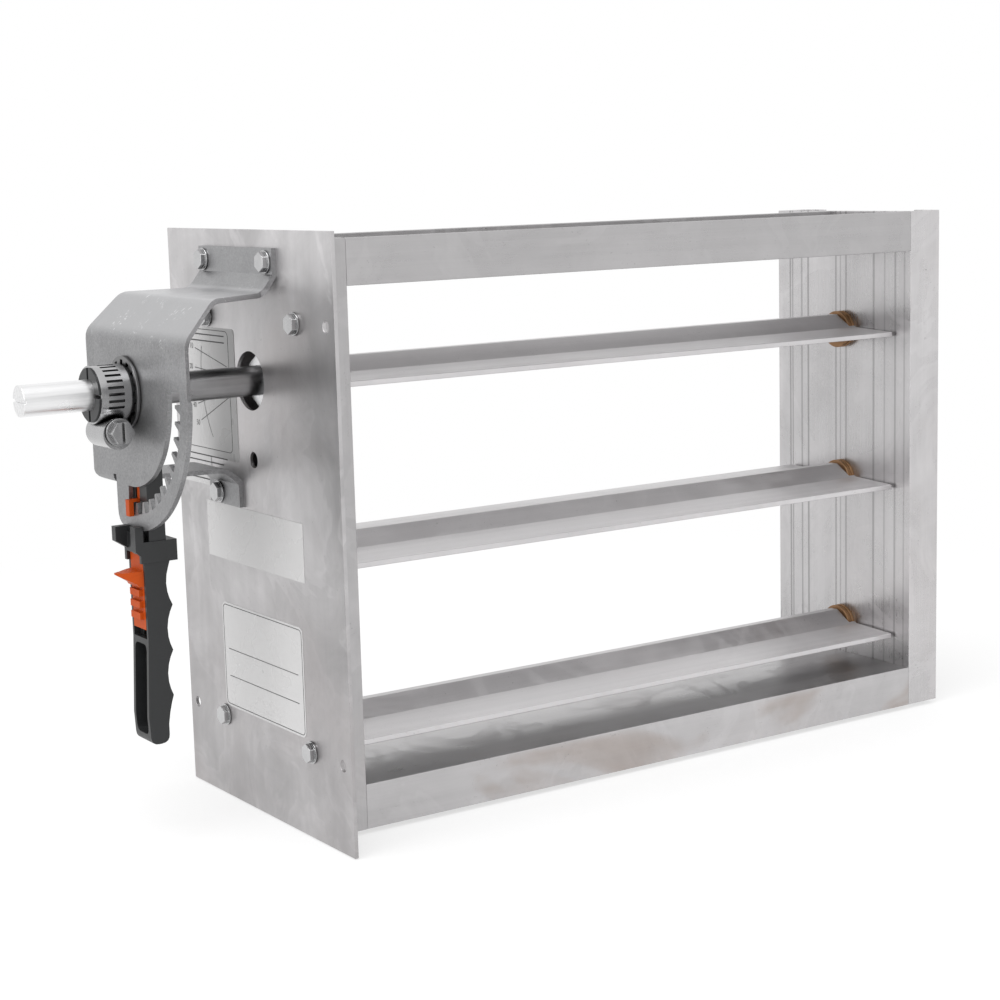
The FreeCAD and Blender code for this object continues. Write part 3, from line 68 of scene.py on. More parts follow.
MM = 0.001
SHAFT_Z = (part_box("drive_shaft")[0].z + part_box("drive_shaft")[1].z) / 2
TAB_RISE = 0.0177  # bracket tab, its top above the bracket's upper face
DIAL_ANGLES = (12.3, 2.8, -6.2, -14.8, -23.1)  # rays of the dial, from +Y towards +Z
DIAL_RAY = (0.0215, 0.0525)  # start and end of a ray, from the drive axis
DIAL_ARC = 0.0462  # radius of the dial's arc, from the drive axis
DIAL_SWEEP = (15.5, -36.0)  # angles of the arc's two ends
DIAL_FIGURES = 0.0560  # radius of the figures' middles
FIGURE_SIZE = 0.0034
RULE_WIDTH = 0.55  # rules that stand for text on the position label, in millimetres
PRINT_LIFT = 0.00002  # print in front of the film
PRINT_DEPTH = 0.00003  # thickness of a printed line
VIEW_FROM = (-0.395, -0.77495, 0.1488)  # the camera's place
VIEW_ANGLES = (80.7949, 1.5192, -34.1116)  # tilt up from straight down, roll and turn, degrees
VIEW_SHIFT = (-0.0034, 0.0013)  # shift of the lens, in widths of the frame


# Shader expressions
class Wire:
    """A socket that can be used in Python arithmetic; each operator adds one Math node."""

    def __init__(self, paint, socket):
        self.paint = paint
        self.socket = socket

    def math(self, operation, *others, clamp=False):
        inputs = {0: self}
        for i, other in enumerate(others, 1):
            inputs[i] = other
        return self.paint.node(
            "ShaderNodeMath", {"operation": operation, "use_clamp": clamp}, inputs
        )

    def __add__(self, other):
        return self.math("ADD", other)

    __radd__ = __add__

    def __sub__(self, other):
        return self.math("SUBTRACT", other)

    def __rsub__(self, other):
        return self.paint.node("ShaderNodeMath", {"operation": "SUBTRACT"}, {0: other, 1: self})

    def __mul__(self, other):
        return self.math("MULTIPLY", other)

    __rmul__ = __mul__

    def clamp(self):
        return self.math("ADD", 0.0, clamp=True)

    def step(self, low, high):
        """0 below low, 1 above high, smooth between."""
        return self.paint.node(
            "ShaderNodeMapRange",
            {"interpolation_type": "SMOOTHSTEP"},
            {"Value": self, "From Min": low, "From Max": high},
        )


class Paint:
    """One node tree, of a material or of the world; node() is how it gets its nodes."""

    def __init__(self, name, holder=None):
        old = holder or bpy.data.materials.get(name)
        self.material = old or bpy.data.materials.new(name)
        self.material.use_nodes = True
        self.tree = self.material.node_tree
        self.tree.nodes.clear()
        self.place = None

    def node(self, kind, settings=None, inputs=None, output=0):
        made = self.tree.nodes.new(kind)
        for key, value in (settings or {}).items():
            setattr(made, key, value)
        for key, value in (inputs or {}).items():
            socket = made.inputs[key]
            if isinstance(value, Wire):
                self.tree.links.new(value.socket, socket)
            else:
                socket.default_value = value
        return Wire(self, made.outputs[output]) if made.outputs else None

    def object_place(self):
        """Object coordinates as they are; their node is made once."""
        if self.place is None:
            self.place = self.node("ShaderNodeTexCoord", output="Object")
        return self.place

    def coords(self, scale=(1, 1, 1), turn=(0, 0, 0), shift=(0, 0, 0)):
        """Object coordinates, stretched, turned and moved."""
        return self.node(
            "ShaderNodeMapping",
            {},
            {"Vector": self.object_place(), "Scale": scale, "Rotation": turn, "Location": shift},
        )

    def axis(self, letter):
        """Object X, Y or Z as a number, in metres."""
        return self.node(
            "ShaderNodeSeparateXYZ", {}, {"Vector": self.object_place()}, output=letter
        )

    def noise(self, scale, detail=2.0, roughness=0.5, at=None, stretch=(1, 1, 1), distortion=0.0):
        return self.node(
            "ShaderNodeTexNoise",
            {"noise_dimensions": "3D"},
            {"Vector": at or self.coords(stretch), "Scale": scale, "Detail": detail,
             "Roughness": roughness, "Distortion": distortion},
        )

    def cells(self, scale, output="Distance"):
        return self.node(
            "ShaderNodeTexVoronoi", {"feature": "F1"},
            {"Vector": self.coords(), "Scale": scale}, output=output,
        )

    def mix(self, factor, first, second):
        """Colour mix by the Mix node's colour sockets; three numbers get an alpha of 1."""
        first, second = [
            tone if isinstance(tone, Wire) else (*tone[:3], 1.0) for tone in (first, second)
        ]
        return self.node(
            "ShaderNodeMix", {"data_type": "RGBA"}, {0: factor, 6: first, 7: second}, output=2
        )

    def bump(self, height, distance, strength=1.0):
        return self.node("ShaderNodeBump", {},
                         {"Height": height, "Distance": distance, "Strength": strength})

    def surface(self, **sockets):
        """The principled shader and the output; sockets are named with _ for a space."""
        inputs = {}
        for key, value in sockets.items():
            key = key.replace("_", " ")
            if key in ("Base Color", "Emission Color") and not isinstance(value, Wire):
                value = (*value[:3], 1.0)
            inputs[key] = value
        shader = self.node("ShaderNodeBsdfPrincipled", {}, inputs)
        self.node("ShaderNodeOutputMaterial", {}, {"Surface": shader})
        return self.material


# User settings
class DamperFinish(bpy.types.PropertyGroup):
    """Colours and surface values of the damper's materials."""

    aluminium: bpy.props.FloatVectorProperty(
        name="Aluminium", description="Mill finish aluminium", subtype="COLOR", size=3,
        default=(0.500, 0.490, 0.495), min=0, max=1)
    galvanised: bpy.props.FloatVectorProperty(
        name="Galvanised sheet", description="Quadrant bracket", subtype="COLOR", size=3,
        default=(0.270, 0.270, 0.275), min=0, max=1)
    bronze: bpy.props.FloatVectorProperty(
        name="Bronze", description="Sintered bearings", subtype="COLOR", size=3,
        default=(0.30, 0.17, 0.085), min=0, max=1)
    plastic: bpy.props.FloatVectorProperty(
        name="Handle plastic", description="Dark moulded plastic", subtype="COLOR", size=3,
        default=(0.015, 0.016, 0.017), min=0, max=1)
    trigger: bpy.props.FloatVectorProperty(
        name="Trigger plastic", description="Orange moulded plastic", subtype="COLOR", size=3,
        default=(0.42, 0.058, 0.003), min=0, max=1)
    film: bpy.props.FloatVectorProperty(
        name="Label film", description="Clear and white label stock", subtype="COLOR", size=3,
        default=(0.54, 0.535, 0.535), min=0, max=1)
    stain: bpy.props.FloatProperty(
        name="Stain", description="Strength of the blotches on the aluminium",
        default=1.0, min=0, max=2, subtype="FACTOR")


class DamperStage(bpy.types.PropertyGroup):
    """Camera, floor and lamps."""

    lens: bpy.props.FloatProperty(
        name="Lens", description="Focal length in millimetres", default=74.06, min=20, max=300,
        unit="CAMERA")
    floor_drop: bpy.props.FloatProperty(
        name="Floor gap", description="Floor below the lowest edge", default=0.0005, min=0,
        max=0.05, unit="LENGTH")
    floor_colour: bpy.props.FloatVectorProperty(
        name="Floor", description="Pale floor", subtype="COLOR", size=3,
        default=(0.92, 0.92, 0.92), min=0, max=1)
    key_power: bpy.props.FloatProperty(
        name="Key lamp", description="Power of the large lamp", default=24.0, min=0, max=500,
        unit="POWER")
    fill_power: bpy.props.FloatProperty(
        name="Fill lamp", description="Power of the fill lamp", default=6.0, min=0, max=500,
        unit="POWER")
    world_level: bpy.props.FloatProperty(
        name="Room level", description="Brightness of the surrounding light", default=0.87,
        min=0, max=3)


def finish():
    """The user's colours and surface values."""
    return bpy.context.scene.damper_finish


# Materials
def aluminium(name, grain, seed=0.0, tone=1.0, stain=1.0, rough=0.34, web=None, dull=0.0):
    """Mill finish: die lines along grain, smeared blotches, water stains and dark specks.

    A grain along X adds brown silt near the damper's foot.
    dull darkens the lower half, more in blotches.
    web adds the broad extrusion bands of a wide face: a list of (Y, half width, depth) in
    millimetres, each one a dark line that runs along Z."""
    paint = Paint(name)
    base = [c * tone for c in finish().aluminium]
    stretch = {"x": (0.02, 1, 1), "y": (1, 0.02, 1), "z": (1, 1, 0.02)}[grain]
    drawn = {"x": (0.12, 1, 1), "y": (1, 0.12, 1), "z": (1, 1, 0.12)}[grain]
    lines = paint.noise(1500, 3, 0.6, stretch=stretch)
    broad = paint.noise(170, 3, 0.6, stretch=stretch)
    smear = paint.noise(75, 4, 0.6, stretch=drawn)
    blot = paint.noise(24, 5, 0.66, at=paint.coords(shift=(seed, seed * 2, -seed)),
                       distortion=0.6)
    cloud = paint.noise(9, 3, 0.55, at=paint.coords(shift=(-seed, seed, seed * 3)))
    ring = paint.noise(15, 4, 0.6, at=paint.coords(shift=(seed * 5, -seed, seed)),
                       distortion=1.2)
    tide = ring.step(0.50, 0.53) * (1.0 - ring.step(0.53, 0.62))
    speck = paint.noise(900, 2, 0.6).step(0.66, 0.73) * paint.noise(60, 2).step(0.5, 0.62)
    dot = 1.0 - paint.cells(240).step(0.0009, 0.0017)
    dot = dot * paint.noise(33, 1, at=paint.coords(shift=(seed, 0, seed))).step(0.52, 0.60)
    shade = (blot - 0.5) * (1.35 * stain) + (cloud - 0.5) * (1.25 * stain)
    shade = shade + (smear - 0.5) * (0.34 * stain) + tide * (0.22 * stain)
    shade = shade + (lines - 0.5) * 0.16 + (broad - 0.5) * 0.26
    factor = (shade + 0.5).clamp()
    dark = [c * 0.66 for c in base]
    light = [min(1.0, c * 1.28) for c in base]
    colour = paint.mix(factor, dark, light)
    warm = paint.noise(11, 3, 0.6, at=paint.coords(shift=(seed * 2, seed, 0))).step(0.5, 0.72)
    colour = paint.mix(warm * (0.22 * stain), colour, [base[0] * 0.92, base[1] * 0.83,
                                                       base[2] * 0.80])
    if grain == "x":
        silt = paint.noise(14, 4, 0.62, at=paint.coords((0.45, 1, 1), shift=(0.3, 0.1, 0)),
                           distortion=0.8).step(0.50, 0.60)
        foot = 1.0 - paint.axis("Z").step(-0.109, -0.104)
        colour = paint.mix(silt * foot * 0.42, colour, (0.30, 0.215, 0.165))
    if dull:
        haze = paint.noise(26, 4, 0.6, at=paint.coords(shift=(-seed, 0.2, seed))).step(0.40, 0.62)
        low = (1.0 - paint.axis("Z").step(-0.070, 0.005)) * (haze * 0.5 + 0.75) * dull
        colour = paint.mix(low, colour, [base[0] * 0.56, base[1] * 0.54, base[2] * 0.54])
    colour = paint.mix(speck * 0.40, colour, [c * 0.35 for c in base])
    colour = paint.mix(dot * 0.55, colour, [c * 0.22 for c in base])
    rough_field = (blot - 0.5) * 0.22 + (lines - 0.5) * 0.18 + tide * 0.08 + rough
    height = lines * 0.6 + broad * 0.4
    if web:
        across = paint.axis("Y")
        bands = None
        for place, half, depth in web:
            reach = (across - place * MM).math("ABSOLUTE")
            band = (1.0 - reach.step(half * 0.35 * MM, half * MM)) * depth
            bands = band if bands is None else bands + band
        colour = paint.mix(bands.clamp(), colour, [c * 0.36 for c in base])
        grime = paint.noise(95, 4, 0.7, stretch=(1, 1, 0.5)).step(0.52, 0.66)
        low = 1.0 - paint.axis("Z").step(-0.116, -0.070)
        back = across.step(-0.020, 0.030)
        colour = paint.mix(grime * low * back * 0.62, colour, [0.07, 0.065, 0.065])
        height = height - bands * 0.6
    normal = paint.bump(height, 0.00003, 0.6)
    return paint.surface(Base_Color=colour, Metallic=0.9, Roughness=rough_field, Normal=normal)


def galvanised(name):
    """Zinc coated steel: faint spangle, satin, fine grain, thin bright scratches; a painted
    highlight lightens the bracket's upper faces.
    """
    paint = Paint(name)
    base = finish().galvanised
    spangle = paint.cells(95, "Color")
    tint = paint.node("ShaderNodeSeparateColor", {}, {0: spangle})
    haze = paint.noise(40, 3, 0.6)
    fine = paint.noise(1500, 3, 0.65)
    pepper = paint.noise(1050, 2, 0.7)
    factor = (tint - 0.5) * 0.20 + (haze - 0.5) * 0.6 + (fine - 0.5) * 1.1 + 0.5
    factor = factor + (pepper - 0.5) * 1.3
    colour = paint.mix(factor.clamp(), [c * 0.74 for c in base], [c * 1.26 for c in base])
    rise = paint.axis("Z")
    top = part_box("quadrant_bracket")[1].z - TAB_RISE
    tab = rise.step(top + 0.0005, top + 0.002)
    worn = rise.step(top - 0.021, top - 0.013) * 0.9 + 0.1 - tab * 0.85
    marks = None
    for turn, seed in ((0.5, 0.3), (-0.9, 1.7), (1.9, 4.1)):
        run = paint.coords((0.05, 1, 1), (turn, turn * 0.7, turn), (seed, seed, seed))
        line = paint.noise(700, 2, 0.5, at=run).step(0.645, 0.69)
        marks = line if marks is None else marks + line
    patch = paint.noise(70, 2, 0.5, at=paint.coords(shift=(2.2, 0.4, 1.1))).step(0.50, 0.60)
    marks = (marks * patch * worn).clamp()
    # Painted highlight: from about 12 mm below the upper face upwards, the colour is mixed
    # towards a lit copy of the zinc (1.75 times base); the tab is mostly left out.
    shine = rise.step(top - 0.0175, top - 0.0115) * 0.72 + rise.step(top - 0.001, top) * 0.25
    shine = shine - tab * 0.76
    colour = paint.mix(shine.clamp(), colour, [c * 1.75 for c in base])
    colour = paint.mix(marks * 0.80, colour, [min(1, c * 2.5) for c in base])
    normal = paint.bump(fine * 0.5 + haze * 0.7, 0.00006, 0.5)
    return paint.surface(Base_Color=colour, Metallic=0.85,
                         Roughness=(haze - 0.5) * 0.2 + 0.40, Normal=normal)


def bright_zinc(name, level=0.72, rough=0.22, reach=0.0025):
    """Zinc plated fastener: bright with handling marks; painted shade darkens it in its corners
    and where it meets other parts.
    """
    paint = Paint(name)
    haze = paint.noise(160, 3, 0.6)
    fine = paint.noise(1800, 2, 0.5)
    colour = paint.mix(haze, (level * 0.74, level * 0.74, level * 0.75),
                       (level, level, level * 1.01))
    # Painted shade: an ambient occlusion node, reaching reach metres, mixes the colour towards a
    # tenth of level in corners and near other parts.
    corner = paint.node("ShaderNodeAmbientOcclusion", {"samples": 8},
                        {"Distance": reach}, output="AO").step(0.25, 0.85)
    colour = paint.mix(corner, (level * 0.10, level * 0.10, level * 0.10), colour)
    normal = paint.bump(fine, 0.00003, 0.5)
    return paint.surface(Base_Color=colour, Metallic=1.0,
                         Roughness=(haze - 0.5) * 0.16 + rough, Normal=normal)


def shaft_steel(name):
    """Drawn steel: streaks along the shaft and slight dulling; its free end, past the clamp, gets
    a painted highlight.
    """
    paint = Paint(name)
    streak = paint.noise(900, 3, 0.6, stretch=(0.02, 1, 1))
    haze = paint.noise(70, 3, 0.55)
    factor = ((streak - 0.5) * 0.5 + (haze - 0.5) * 0.7 + 0.5).clamp()
    colour = paint.mix(factor, (0.24, 0.24, 0.245), (0.50, 0.50, 0.505))
    # Painted highlight: the free end, beyond x = -0.074 and fading in from -0.064, is mixed in
    # streaks towards light grey.
    painted_end_highlight = 1.0 - paint.axis("X").step(-0.074, -0.064)
    colour = paint.mix(painted_end_highlight * (streak * 0.9 + 0.45).clamp(), colour, (0.86, 0.86, 0.865))
    return paint.surface(Base_Color=colour, Metallic=1.0,
                         Roughness=(haze - 0.5) * 0.2 + 0.30,
                         Normal=paint.bump(streak, 0.00003, 0.6))


def sintered_bronze(name):
    """Pressed bronze: brown, matt, with fine pores."""
    paint = Paint(name)
    base = finish().bronze
    pores = paint.noise(2600, 2, 0.6)
    haze = paint.noise(220, 3, 0.6)
    colour = paint.mix(((haze - 0.5) * 0.9 + 0.5).clamp(), [c * 0.7 for c in base],
                       [c * 1.5 for c in base])
    return paint.surface(Base_Color=colour, Metallic=0.7,
                         Roughness=(haze - 0.5) * 0.2 + 0.48,
                         Normal=paint.bump(pores, 0.00008, 0.7))


def moulded(name, colour, rough, grain, shine=0.5):
    """Moulded plastic: fine leather-like grain and slight sheen changes."""
    paint = Paint(name)
    fine = paint.noise(2400, 3, 0.6)
    haze = paint.noise(120, 3, 0.5)
    tint = paint.mix(((haze - 0.5) * 0.8 + 0.5).clamp(), [c * 0.86 for c in colour],
                     [c * 1.14 for c in colour])
    return paint.surface(Base_Color=tint, Roughness=(haze - 0.5) * 0.14 + rough,
                         Normal=paint.bump(fine, grain, 0.8), Specular_IOR_Level=shine)


def label_film(name, colour, gloss=0.28):
    """Label stock: nearly even, faint waviness of the adhesive."""
    paint = Paint(name)
    wave = paint.noise(60, 2, 0.5)
    fine = paint.noise(1500, 2, 0.5)
    tint = paint.mix(((wave - 0.5) * 0.6 + 0.5).clamp(), [c * 0.95 for c in colour],
                     [min(1, c * 1.04) for c in colour])
    return paint.surface(Base_Color=tint, Roughness=(wave - 0.5) * 0.1 + gloss,
                         Normal=paint.bump(wave + fine * 0.1, 0.00004, 0.6))


def ink(name, colour):
    """Printing ink: nearly black, worn a little lighter in small spots."""
    paint = Paint(name)
    wear = paint.noise(900, 3, 0.6).step(0.55, 0.75)
    tint = paint.mix(wear * 0.35, colour, [min(1, c + 0.12) for c in colour])
    return paint.surface(Base_Color=tint, Roughness=0.45)


def background_rays(paint):
    """1 for the rays that see the white background: camera, glossy and transmission."""
    seen = paint.node("ShaderNodeLightPath", output="Is Camera Ray")
    for kind in ("Is Glossy Ray", "Is Transmission Ray"):
        seen = seen.math("MAXIMUM", paint.node("ShaderNodeLightPath", output=kind))
    return seen


# Mesh helpers
def dress(node, material):
    """Gives a CAD node's object one material."""
    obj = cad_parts[node]
    obj.data.materials.clear()
    obj.data.materials.append(material)
    return obj


def softened(name, nodes, body, material, width, angle=28, segments=2):
    """Copies of CAD nodes with their sharp edges rounded by a small bevel."""
    made = bmesh.new()
    for node in nodes:
        made.from_mesh(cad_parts[node].data)
    bmesh.ops.remove_doubles(made, verts=made.verts, dist=1e-6)
    bmesh.ops.dissolve_limit(made, angle_limit=math.radians(0.6), verts=made.verts,
                             edges=made.edges, use_dissolve_boundaries=False)
    for edge in made.edges:
        edge.smooth = edge.calc_face_angle(math.pi) < math.radians(42)
    mesh = bpy.data.meshes.new(name)
    made.to_mesh(mesh)
    made.free()
    mesh.materials.append(material)
    mesh.polygons.foreach_set("use_smooth", np.ones(len(mesh.polygons), bool))
    obj = bpy.data.objects.new(name, mesh)
    bpy.context.scene.collection.objects.link(obj)
    bevel = obj.modifiers.new("edge", "BEVEL")
    bevel.width = width * MM
    bevel.segments = segments
    bevel.limit_method = "ANGLE"
    bevel.angle_limit = math.radians(angle)
    bevel.use_clamp_overlap = True
    weigh = obj.modifiers.new("shading", "WEIGHTED_NORMAL")
    weigh.mode = "FACE_AREA"
    weigh.weight = 100
    weigh.thresh = 0.01
    weigh.keep_sharp = True
    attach(obj, body)
    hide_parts(*nodes)
    return obj


def on_dial(radius, angle):
    """Points about the drive axis, angle in degrees: (r cos a, SHAFT_Z + r sin a)."""
    turn = np.radians(angle)
    return np.column_stack((radius * np.cos(turn), radius * np.sin(turn) + SHAFT_Z))


class Strokes:
    """Thin printed lines and figures on a face that looks towards -X, in metres."""

    BOX = np.array((
        (3, 2, 1, 0), (4, 5, 6, 7),
        (0, 1, 5, 4), (1, 2, 6, 5), (2, 3, 7, 6), (3, 0, 4, 7),
    ))

    def __init__(self, skin):
        self.front = skin - PRINT_LIFT - PRINT_DEPTH
        self.back = skin - PRINT_LIFT
        self.verts = []
        self.faces = []
        self.count = 0

    def add(self, verts, faces):
        """Appends an array of points and the faces that index it."""
        self.verts.append(verts)
        self.faces += [(face + self.count).tolist() for face in faces]
        self.count += len(verts)

    def polyline(self, points, width):
        """Band along points, width in millimetres: p +- n * width / 2, n across the run.

        Each run is one closed box from the back of the print to its front."""
        way = np.array(points, float)
        half = width * MM / 2
        runs = way[1:] - way[:-1]
        runs /= np.linalg.norm(runs, axis=1)[:, None]
        normals = np.column_stack((-runs[:, 1], runs[:, 0]))
        mean = np.vstack((normals[:1], normals[:-1] + normals[1:], normals[-1:]))
        mean /= np.linalg.norm(mean, axis=1)[:, None]
        left = way + mean * half
        right = way - mean * half
        outline = np.stack((right[:-1], right[1:], left[1:], left[:-1]), axis=1)
        front = np.insert(outline, 0, self.front, axis=2)
        back = np.insert(outline, 0, self.back, axis=2)
        first = np.arange(len(runs))[:, None, None] * 8
        self.add(np.concatenate((front, back), axis=1).reshape(-1, 3),
                 (first + self.BOX).reshape(-1, 4))

    def border(self, y1, y0, z0, z1, radius, width):
        """Closed rectangle with rounded corners: corner centre + r (cos a, sin a)."""
        centres = np.array(((y1 - radius, z1 - radius), (y0 + radius, z1 - radius),
                            (y0 + radius, z0 + radius), (y1 - radius, z0 + radius)))
        turn = np.radians(np.arange(4)[:, None] * 90 + np.linspace(0, 90, 7))
        bends = np.stack((np.cos(turn), np.sin(turn)), axis=2) * radius
        points = (centres[:, None, :] + bends).reshape(-1, 2)
        self.polyline(np.vstack((points, points[:1])), width)

    def text(self, words, y, z, size):
        """Figures centred at (Y, Z), read from -X: text right is -Y, text up is +Z."""
        curve = bpy.data.curves.new("figures", "FONT")
        curve.body = words
        curve.size = size
        curve.align_x = "CENTER"
        curve.align_y = "CENTER"
        curve.resolution_u = 3
        holder = bpy.data.objects.new("figures", curve)
        bpy.context.scene.collection.objects.link(holder)
        bpy.context.view_layer.update()
        shape = holder.evaluated_get(bpy.context.evaluated_depsgraph_get()).to_mesh()
        flat = np.empty(len(shape.vertices) * 3)
        shape.vertices.foreach_get("co", flat)
        right, up = flat.reshape(-1, 3)[:, :2].T
        corners = np.empty(len(shape.loops), int)
        shape.loops.foreach_get("vertex_index", corners)
        starts = np.empty(len(shape.polygons), int)
        shape.polygons.foreach_get("loop_start", starts)
        self.add(np.column_stack((np.full(len(right), self.front), y - right, z + up)),
                 np.split(corners, starts[1:]))
        bpy.data.objects.remove(holder)
        bpy.data.curves.remove(curve)

    def piece(self, name, material):
        """One object of all that was drawn; it rides on the frame."""
        mesh = bpy.data.meshes.new(name)
        mesh.from_pydata(np.vstack(self.verts), [], self.faces)
        mesh.materials.append(material)
        mesh.validate()
        obj = bpy.data.objects.new(name, mesh)
        bpy.context.scene.collection.objects.link(obj)
        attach(obj, "frame")
        return obj


# Pieces
class DAMPER_OT_sheets(bpy.types.Operator):
    """Mill finish aluminium on the plate, channels, rails and blades."""

    bl_idname = "damper.sheets"
    bl_label = "Aluminium sheets"

    def execute(self, context):
        soil = finish().stain
        looks = {
            "plate": aluminium("plate_aluminium", "z", 3.1, 1.06, soil, 0.36, dull=0.40),
            "channel": aluminium("channel_aluminium", "z", 0.7, 0.90, soil * 0.6, 0.32),
            "web": aluminium("web_aluminium", "z", 2.3, 1.15, soil * 0.5, 0.28, web=[
                (-44.0, 0.8, 0.35), (-37.7, 0.9, 0.45), (-30.3, 0.7, 0.35), (-22.6, 1.0, 0.5),
                (-2.7, 0.9, 0.5), (1.4, 0.7, 0.4), (4.7, 0.9, 0.5), (25.5, 0.9, 0.6),
                (30.4, 0.8, 0.5), (37.4, 0.7, 0.5), (39.2, 0.8, 0.6)]),
            "rail": aluminium("rail_aluminium", "x", 1.9, 0.92, soil * 0.35, 0.30),
            "sill": aluminium("sill_aluminium", "x", 8.4, 1.05, soil * 0.45, 0.32),
            "blade": aluminium("blade_aluminium", "x", 5.3, 1.36, soil * 0.3, 0.42),
        }
        for name, node, body, look, width in (
            ("plate", "mounting_plate", "frame", "plate", 0.25),
            ("channel_left", "left_channel", "frame", "channel", 0.35),
            ("channel_right", "right_channel", "frame", "web", 0.35),
            ("rail_top", "top_rail", "frame", "rail", 0.35),
            ("rail_bottom", "bottom_rail", "frame", "sill", 0.35),
            ("blade_top", "top_blade", "drive", "blade", 0.3),
            ("blade_middle", "middle_blade", "middle", "blade", 0.3),
            ("blade_bottom", "bottom_blade", "bottom", "blade", 0.3),
        ):
            softened(name, [node], body, looks[look], width)
        return {"FINISHED"}


class DAMPER_OT_bracket(bpy.types.Operator):
    """Galvanised quadrant bracket and tie bar, and the zinc plated cranks."""

    bl_idname = "damper.bracket"
    bl_label = "Bracket, tie bar and cranks"

    def execute(self, context):
        look = galvanised("galvanised_sheet_look")
        softened("bracket", ["quadrant_bracket"], "frame", look, 0.35)
        dress("tie_bar", look)
        zinc = bright_zinc("crank_zinc_look", 0.84, 0.26, 0.0004)
        for node in ("top_crank", "middle_crank", "bottom_crank"):
            dress(node, zinc)
        return {"FINISHED"}


class DAMPER_OT_shafts(bpy.types.Operator):
    """Drive shaft, axles and their bearings."""

    bl_idname = "damper.shafts"
    bl_label = "Shafts and bearings"

    def execute(self, context):
        steel = shaft_steel("shaft_steel_look")
        for node in ("middle_axle", "bottom_axle"):
            dress(node, steel)
        softened("shaft", ["drive_shaft"], "drive", steel, 0.4)
        bronze = sintered_bronze("bronze_look")
        softened("bearings_left", ["left_bearings"], "frame", bronze, 0.3)
        softened("bearings_right", ["right_bearings"], "frame", bronze, 0.3)
        return {"FINISHED"}


class DAMPER_OT_handle(bpy.types.Operator):
    """Dark plastic handle with its trigger and the trigger's spring."""

    bl_idname = "damper.handle"
    bl_label = "Handle"

    def execute(self, context):
        dark = moulded("handle_plastic", finish().plastic, 0.42, 0.00005)
        softened("grip", ["handle"], "drive", dark, 0.6)
        orange = moulded("trigger_plastic", finish().trigger, 0.52, 0.00004, 0.18)
        softened("trigger_body", ["trigger"], "trigger_body", orange, 0.35)
        dress("trigger_spring", bright_zinc("spring_wire_look"))
        return {"FINISHED"}


class DAMPER_OT_clamp(bpy.types.Operator):
    """Hose clamp and retaining ring on the handle's sleeve."""

    bl_idname = "damper.clamp"
    bl_label = "Clamp and ring"

    def execute(self, context):
        bright = bright_zinc("clamp_steel_look", 0.52, 0.24)
        dull = bright_zinc("ring_steel_look", 0.22, 0.34)
        softened("ring", ["retaining_ring"], "drive", dull, 0.15)
        softened("band", ["clamp_band"], "drive", bright, 0.1)
        softened("housing", ["clamp_housing"], "drive", bright, 0.25)
        softened("worm", ["clamp_screw"], "drive", bright, 0.3)
        return {"FINISHED"}


class DAMPER_OT_screws(bpy.types.Operator):
    """Hex washer head screws and crank pins."""

    bl_idname = "damper.screws"
    bl_label = "Screws and pins"

    def execute(self, context):
        # Painted shade reaches 5.5 mm here, so the heads and washers darken where they meet the
        # plate and bracket.
        zinc = bright_zinc("screw_zinc_look", 0.60, 0.16, 0.0055)
        softened("screws_plate", ["plate_screws"], "frame", zinc, 0.35)
        softened("screws_bracket", ["bracket_screws"], "frame", zinc, 0.35)
        for node in ("top_crank_pin", "middle_crank_pin", "bottom_crank_pin"):
            dress(node, zinc)
        return {"FINISHED"}


class DAMPER_OT_labels(bpy.types.Operator):
    """Film of the three labels."""

    bl_idname = "damper.labels"
    bl_label = "Labels"

    def execute(self, context):
        film = label_film("label_film_look", finish().film)
        for node in ("position_label", "wide_label", "lower_label"):
            dress(node, film)
        return {"FINISHED"}


class DAMPER_OT_prints(bpy.types.Operator):
    """Plain prints on the labels: position dial with numbers, border lines and rules."""

    bl_idname = "damper.prints"
    bl_label = "Label prints"

    def execute(self, context):
        black = ink("print_ink", (0.022, 0.022, 0.024))
        low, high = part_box("position_label")
        skin = low.x
        lines = Strokes(skin)
        for angle in DIAL_ANGLES:
            lines.polyline(on_dial(np.array(DIAL_RAY), angle), 0.34)
        lines.polyline(on_dial(DIAL_ARC, np.linspace(*DIAL_SWEEP, 40)), 0.30)
        lines.border(high.y - 0.0020, low.y + 0.0056, low.z + 0.0165, high.z - 0.0012,
                     0.0026, 0.30)
        for level in (high.z - 0.0034, high.z - 0.0062):
            lines.polyline([(high.y - 0.0050, level), (low.y + 0.0092, level)], RULE_WIDTH)
        # Rules under the dial: above the film's lower edge, in from its +Y and its -Y edge
        for level, start, end in ((0.0132, 0.0090, 0.0110), (0.0105, 0.0090, 0.0150),
                                  (0.0052, 0.0060, 0.0290), (0.0026, 0.0060, 0.0290)):
            lines.polyline([(high.y - start, low.z + level), (low.y + end, low.z + level)],
                           RULE_WIDTH)
        lines.piece("dial_lines", black)
        numbers = Strokes(skin)
        places = on_dial(DIAL_FIGURES, np.array(DIAL_ANGLES))
        for (y, z), figure in zip(places, ("10", "20", "30", "40", "50")):
            numbers.text(figure, y, z, FIGURE_SIZE)
        numbers.piece("dial_numbers", black)
        low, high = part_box("lower_label")
        plain = Strokes(low.x)
        inset = 0.0011
        plain.border(high.y - inset, low.y + inset, low.z + inset, high.z - inset, 0.0022, 0.32)
        for share in (0.56, 0.30):
            level = low.z + (high.z - low.z) * share
            plain.polyline([(high.y - 0.0050, level), (low.y + 0.0050, level)], 0.32)
        plain.piece("label_rules", black)
        return {"FINISHED"}


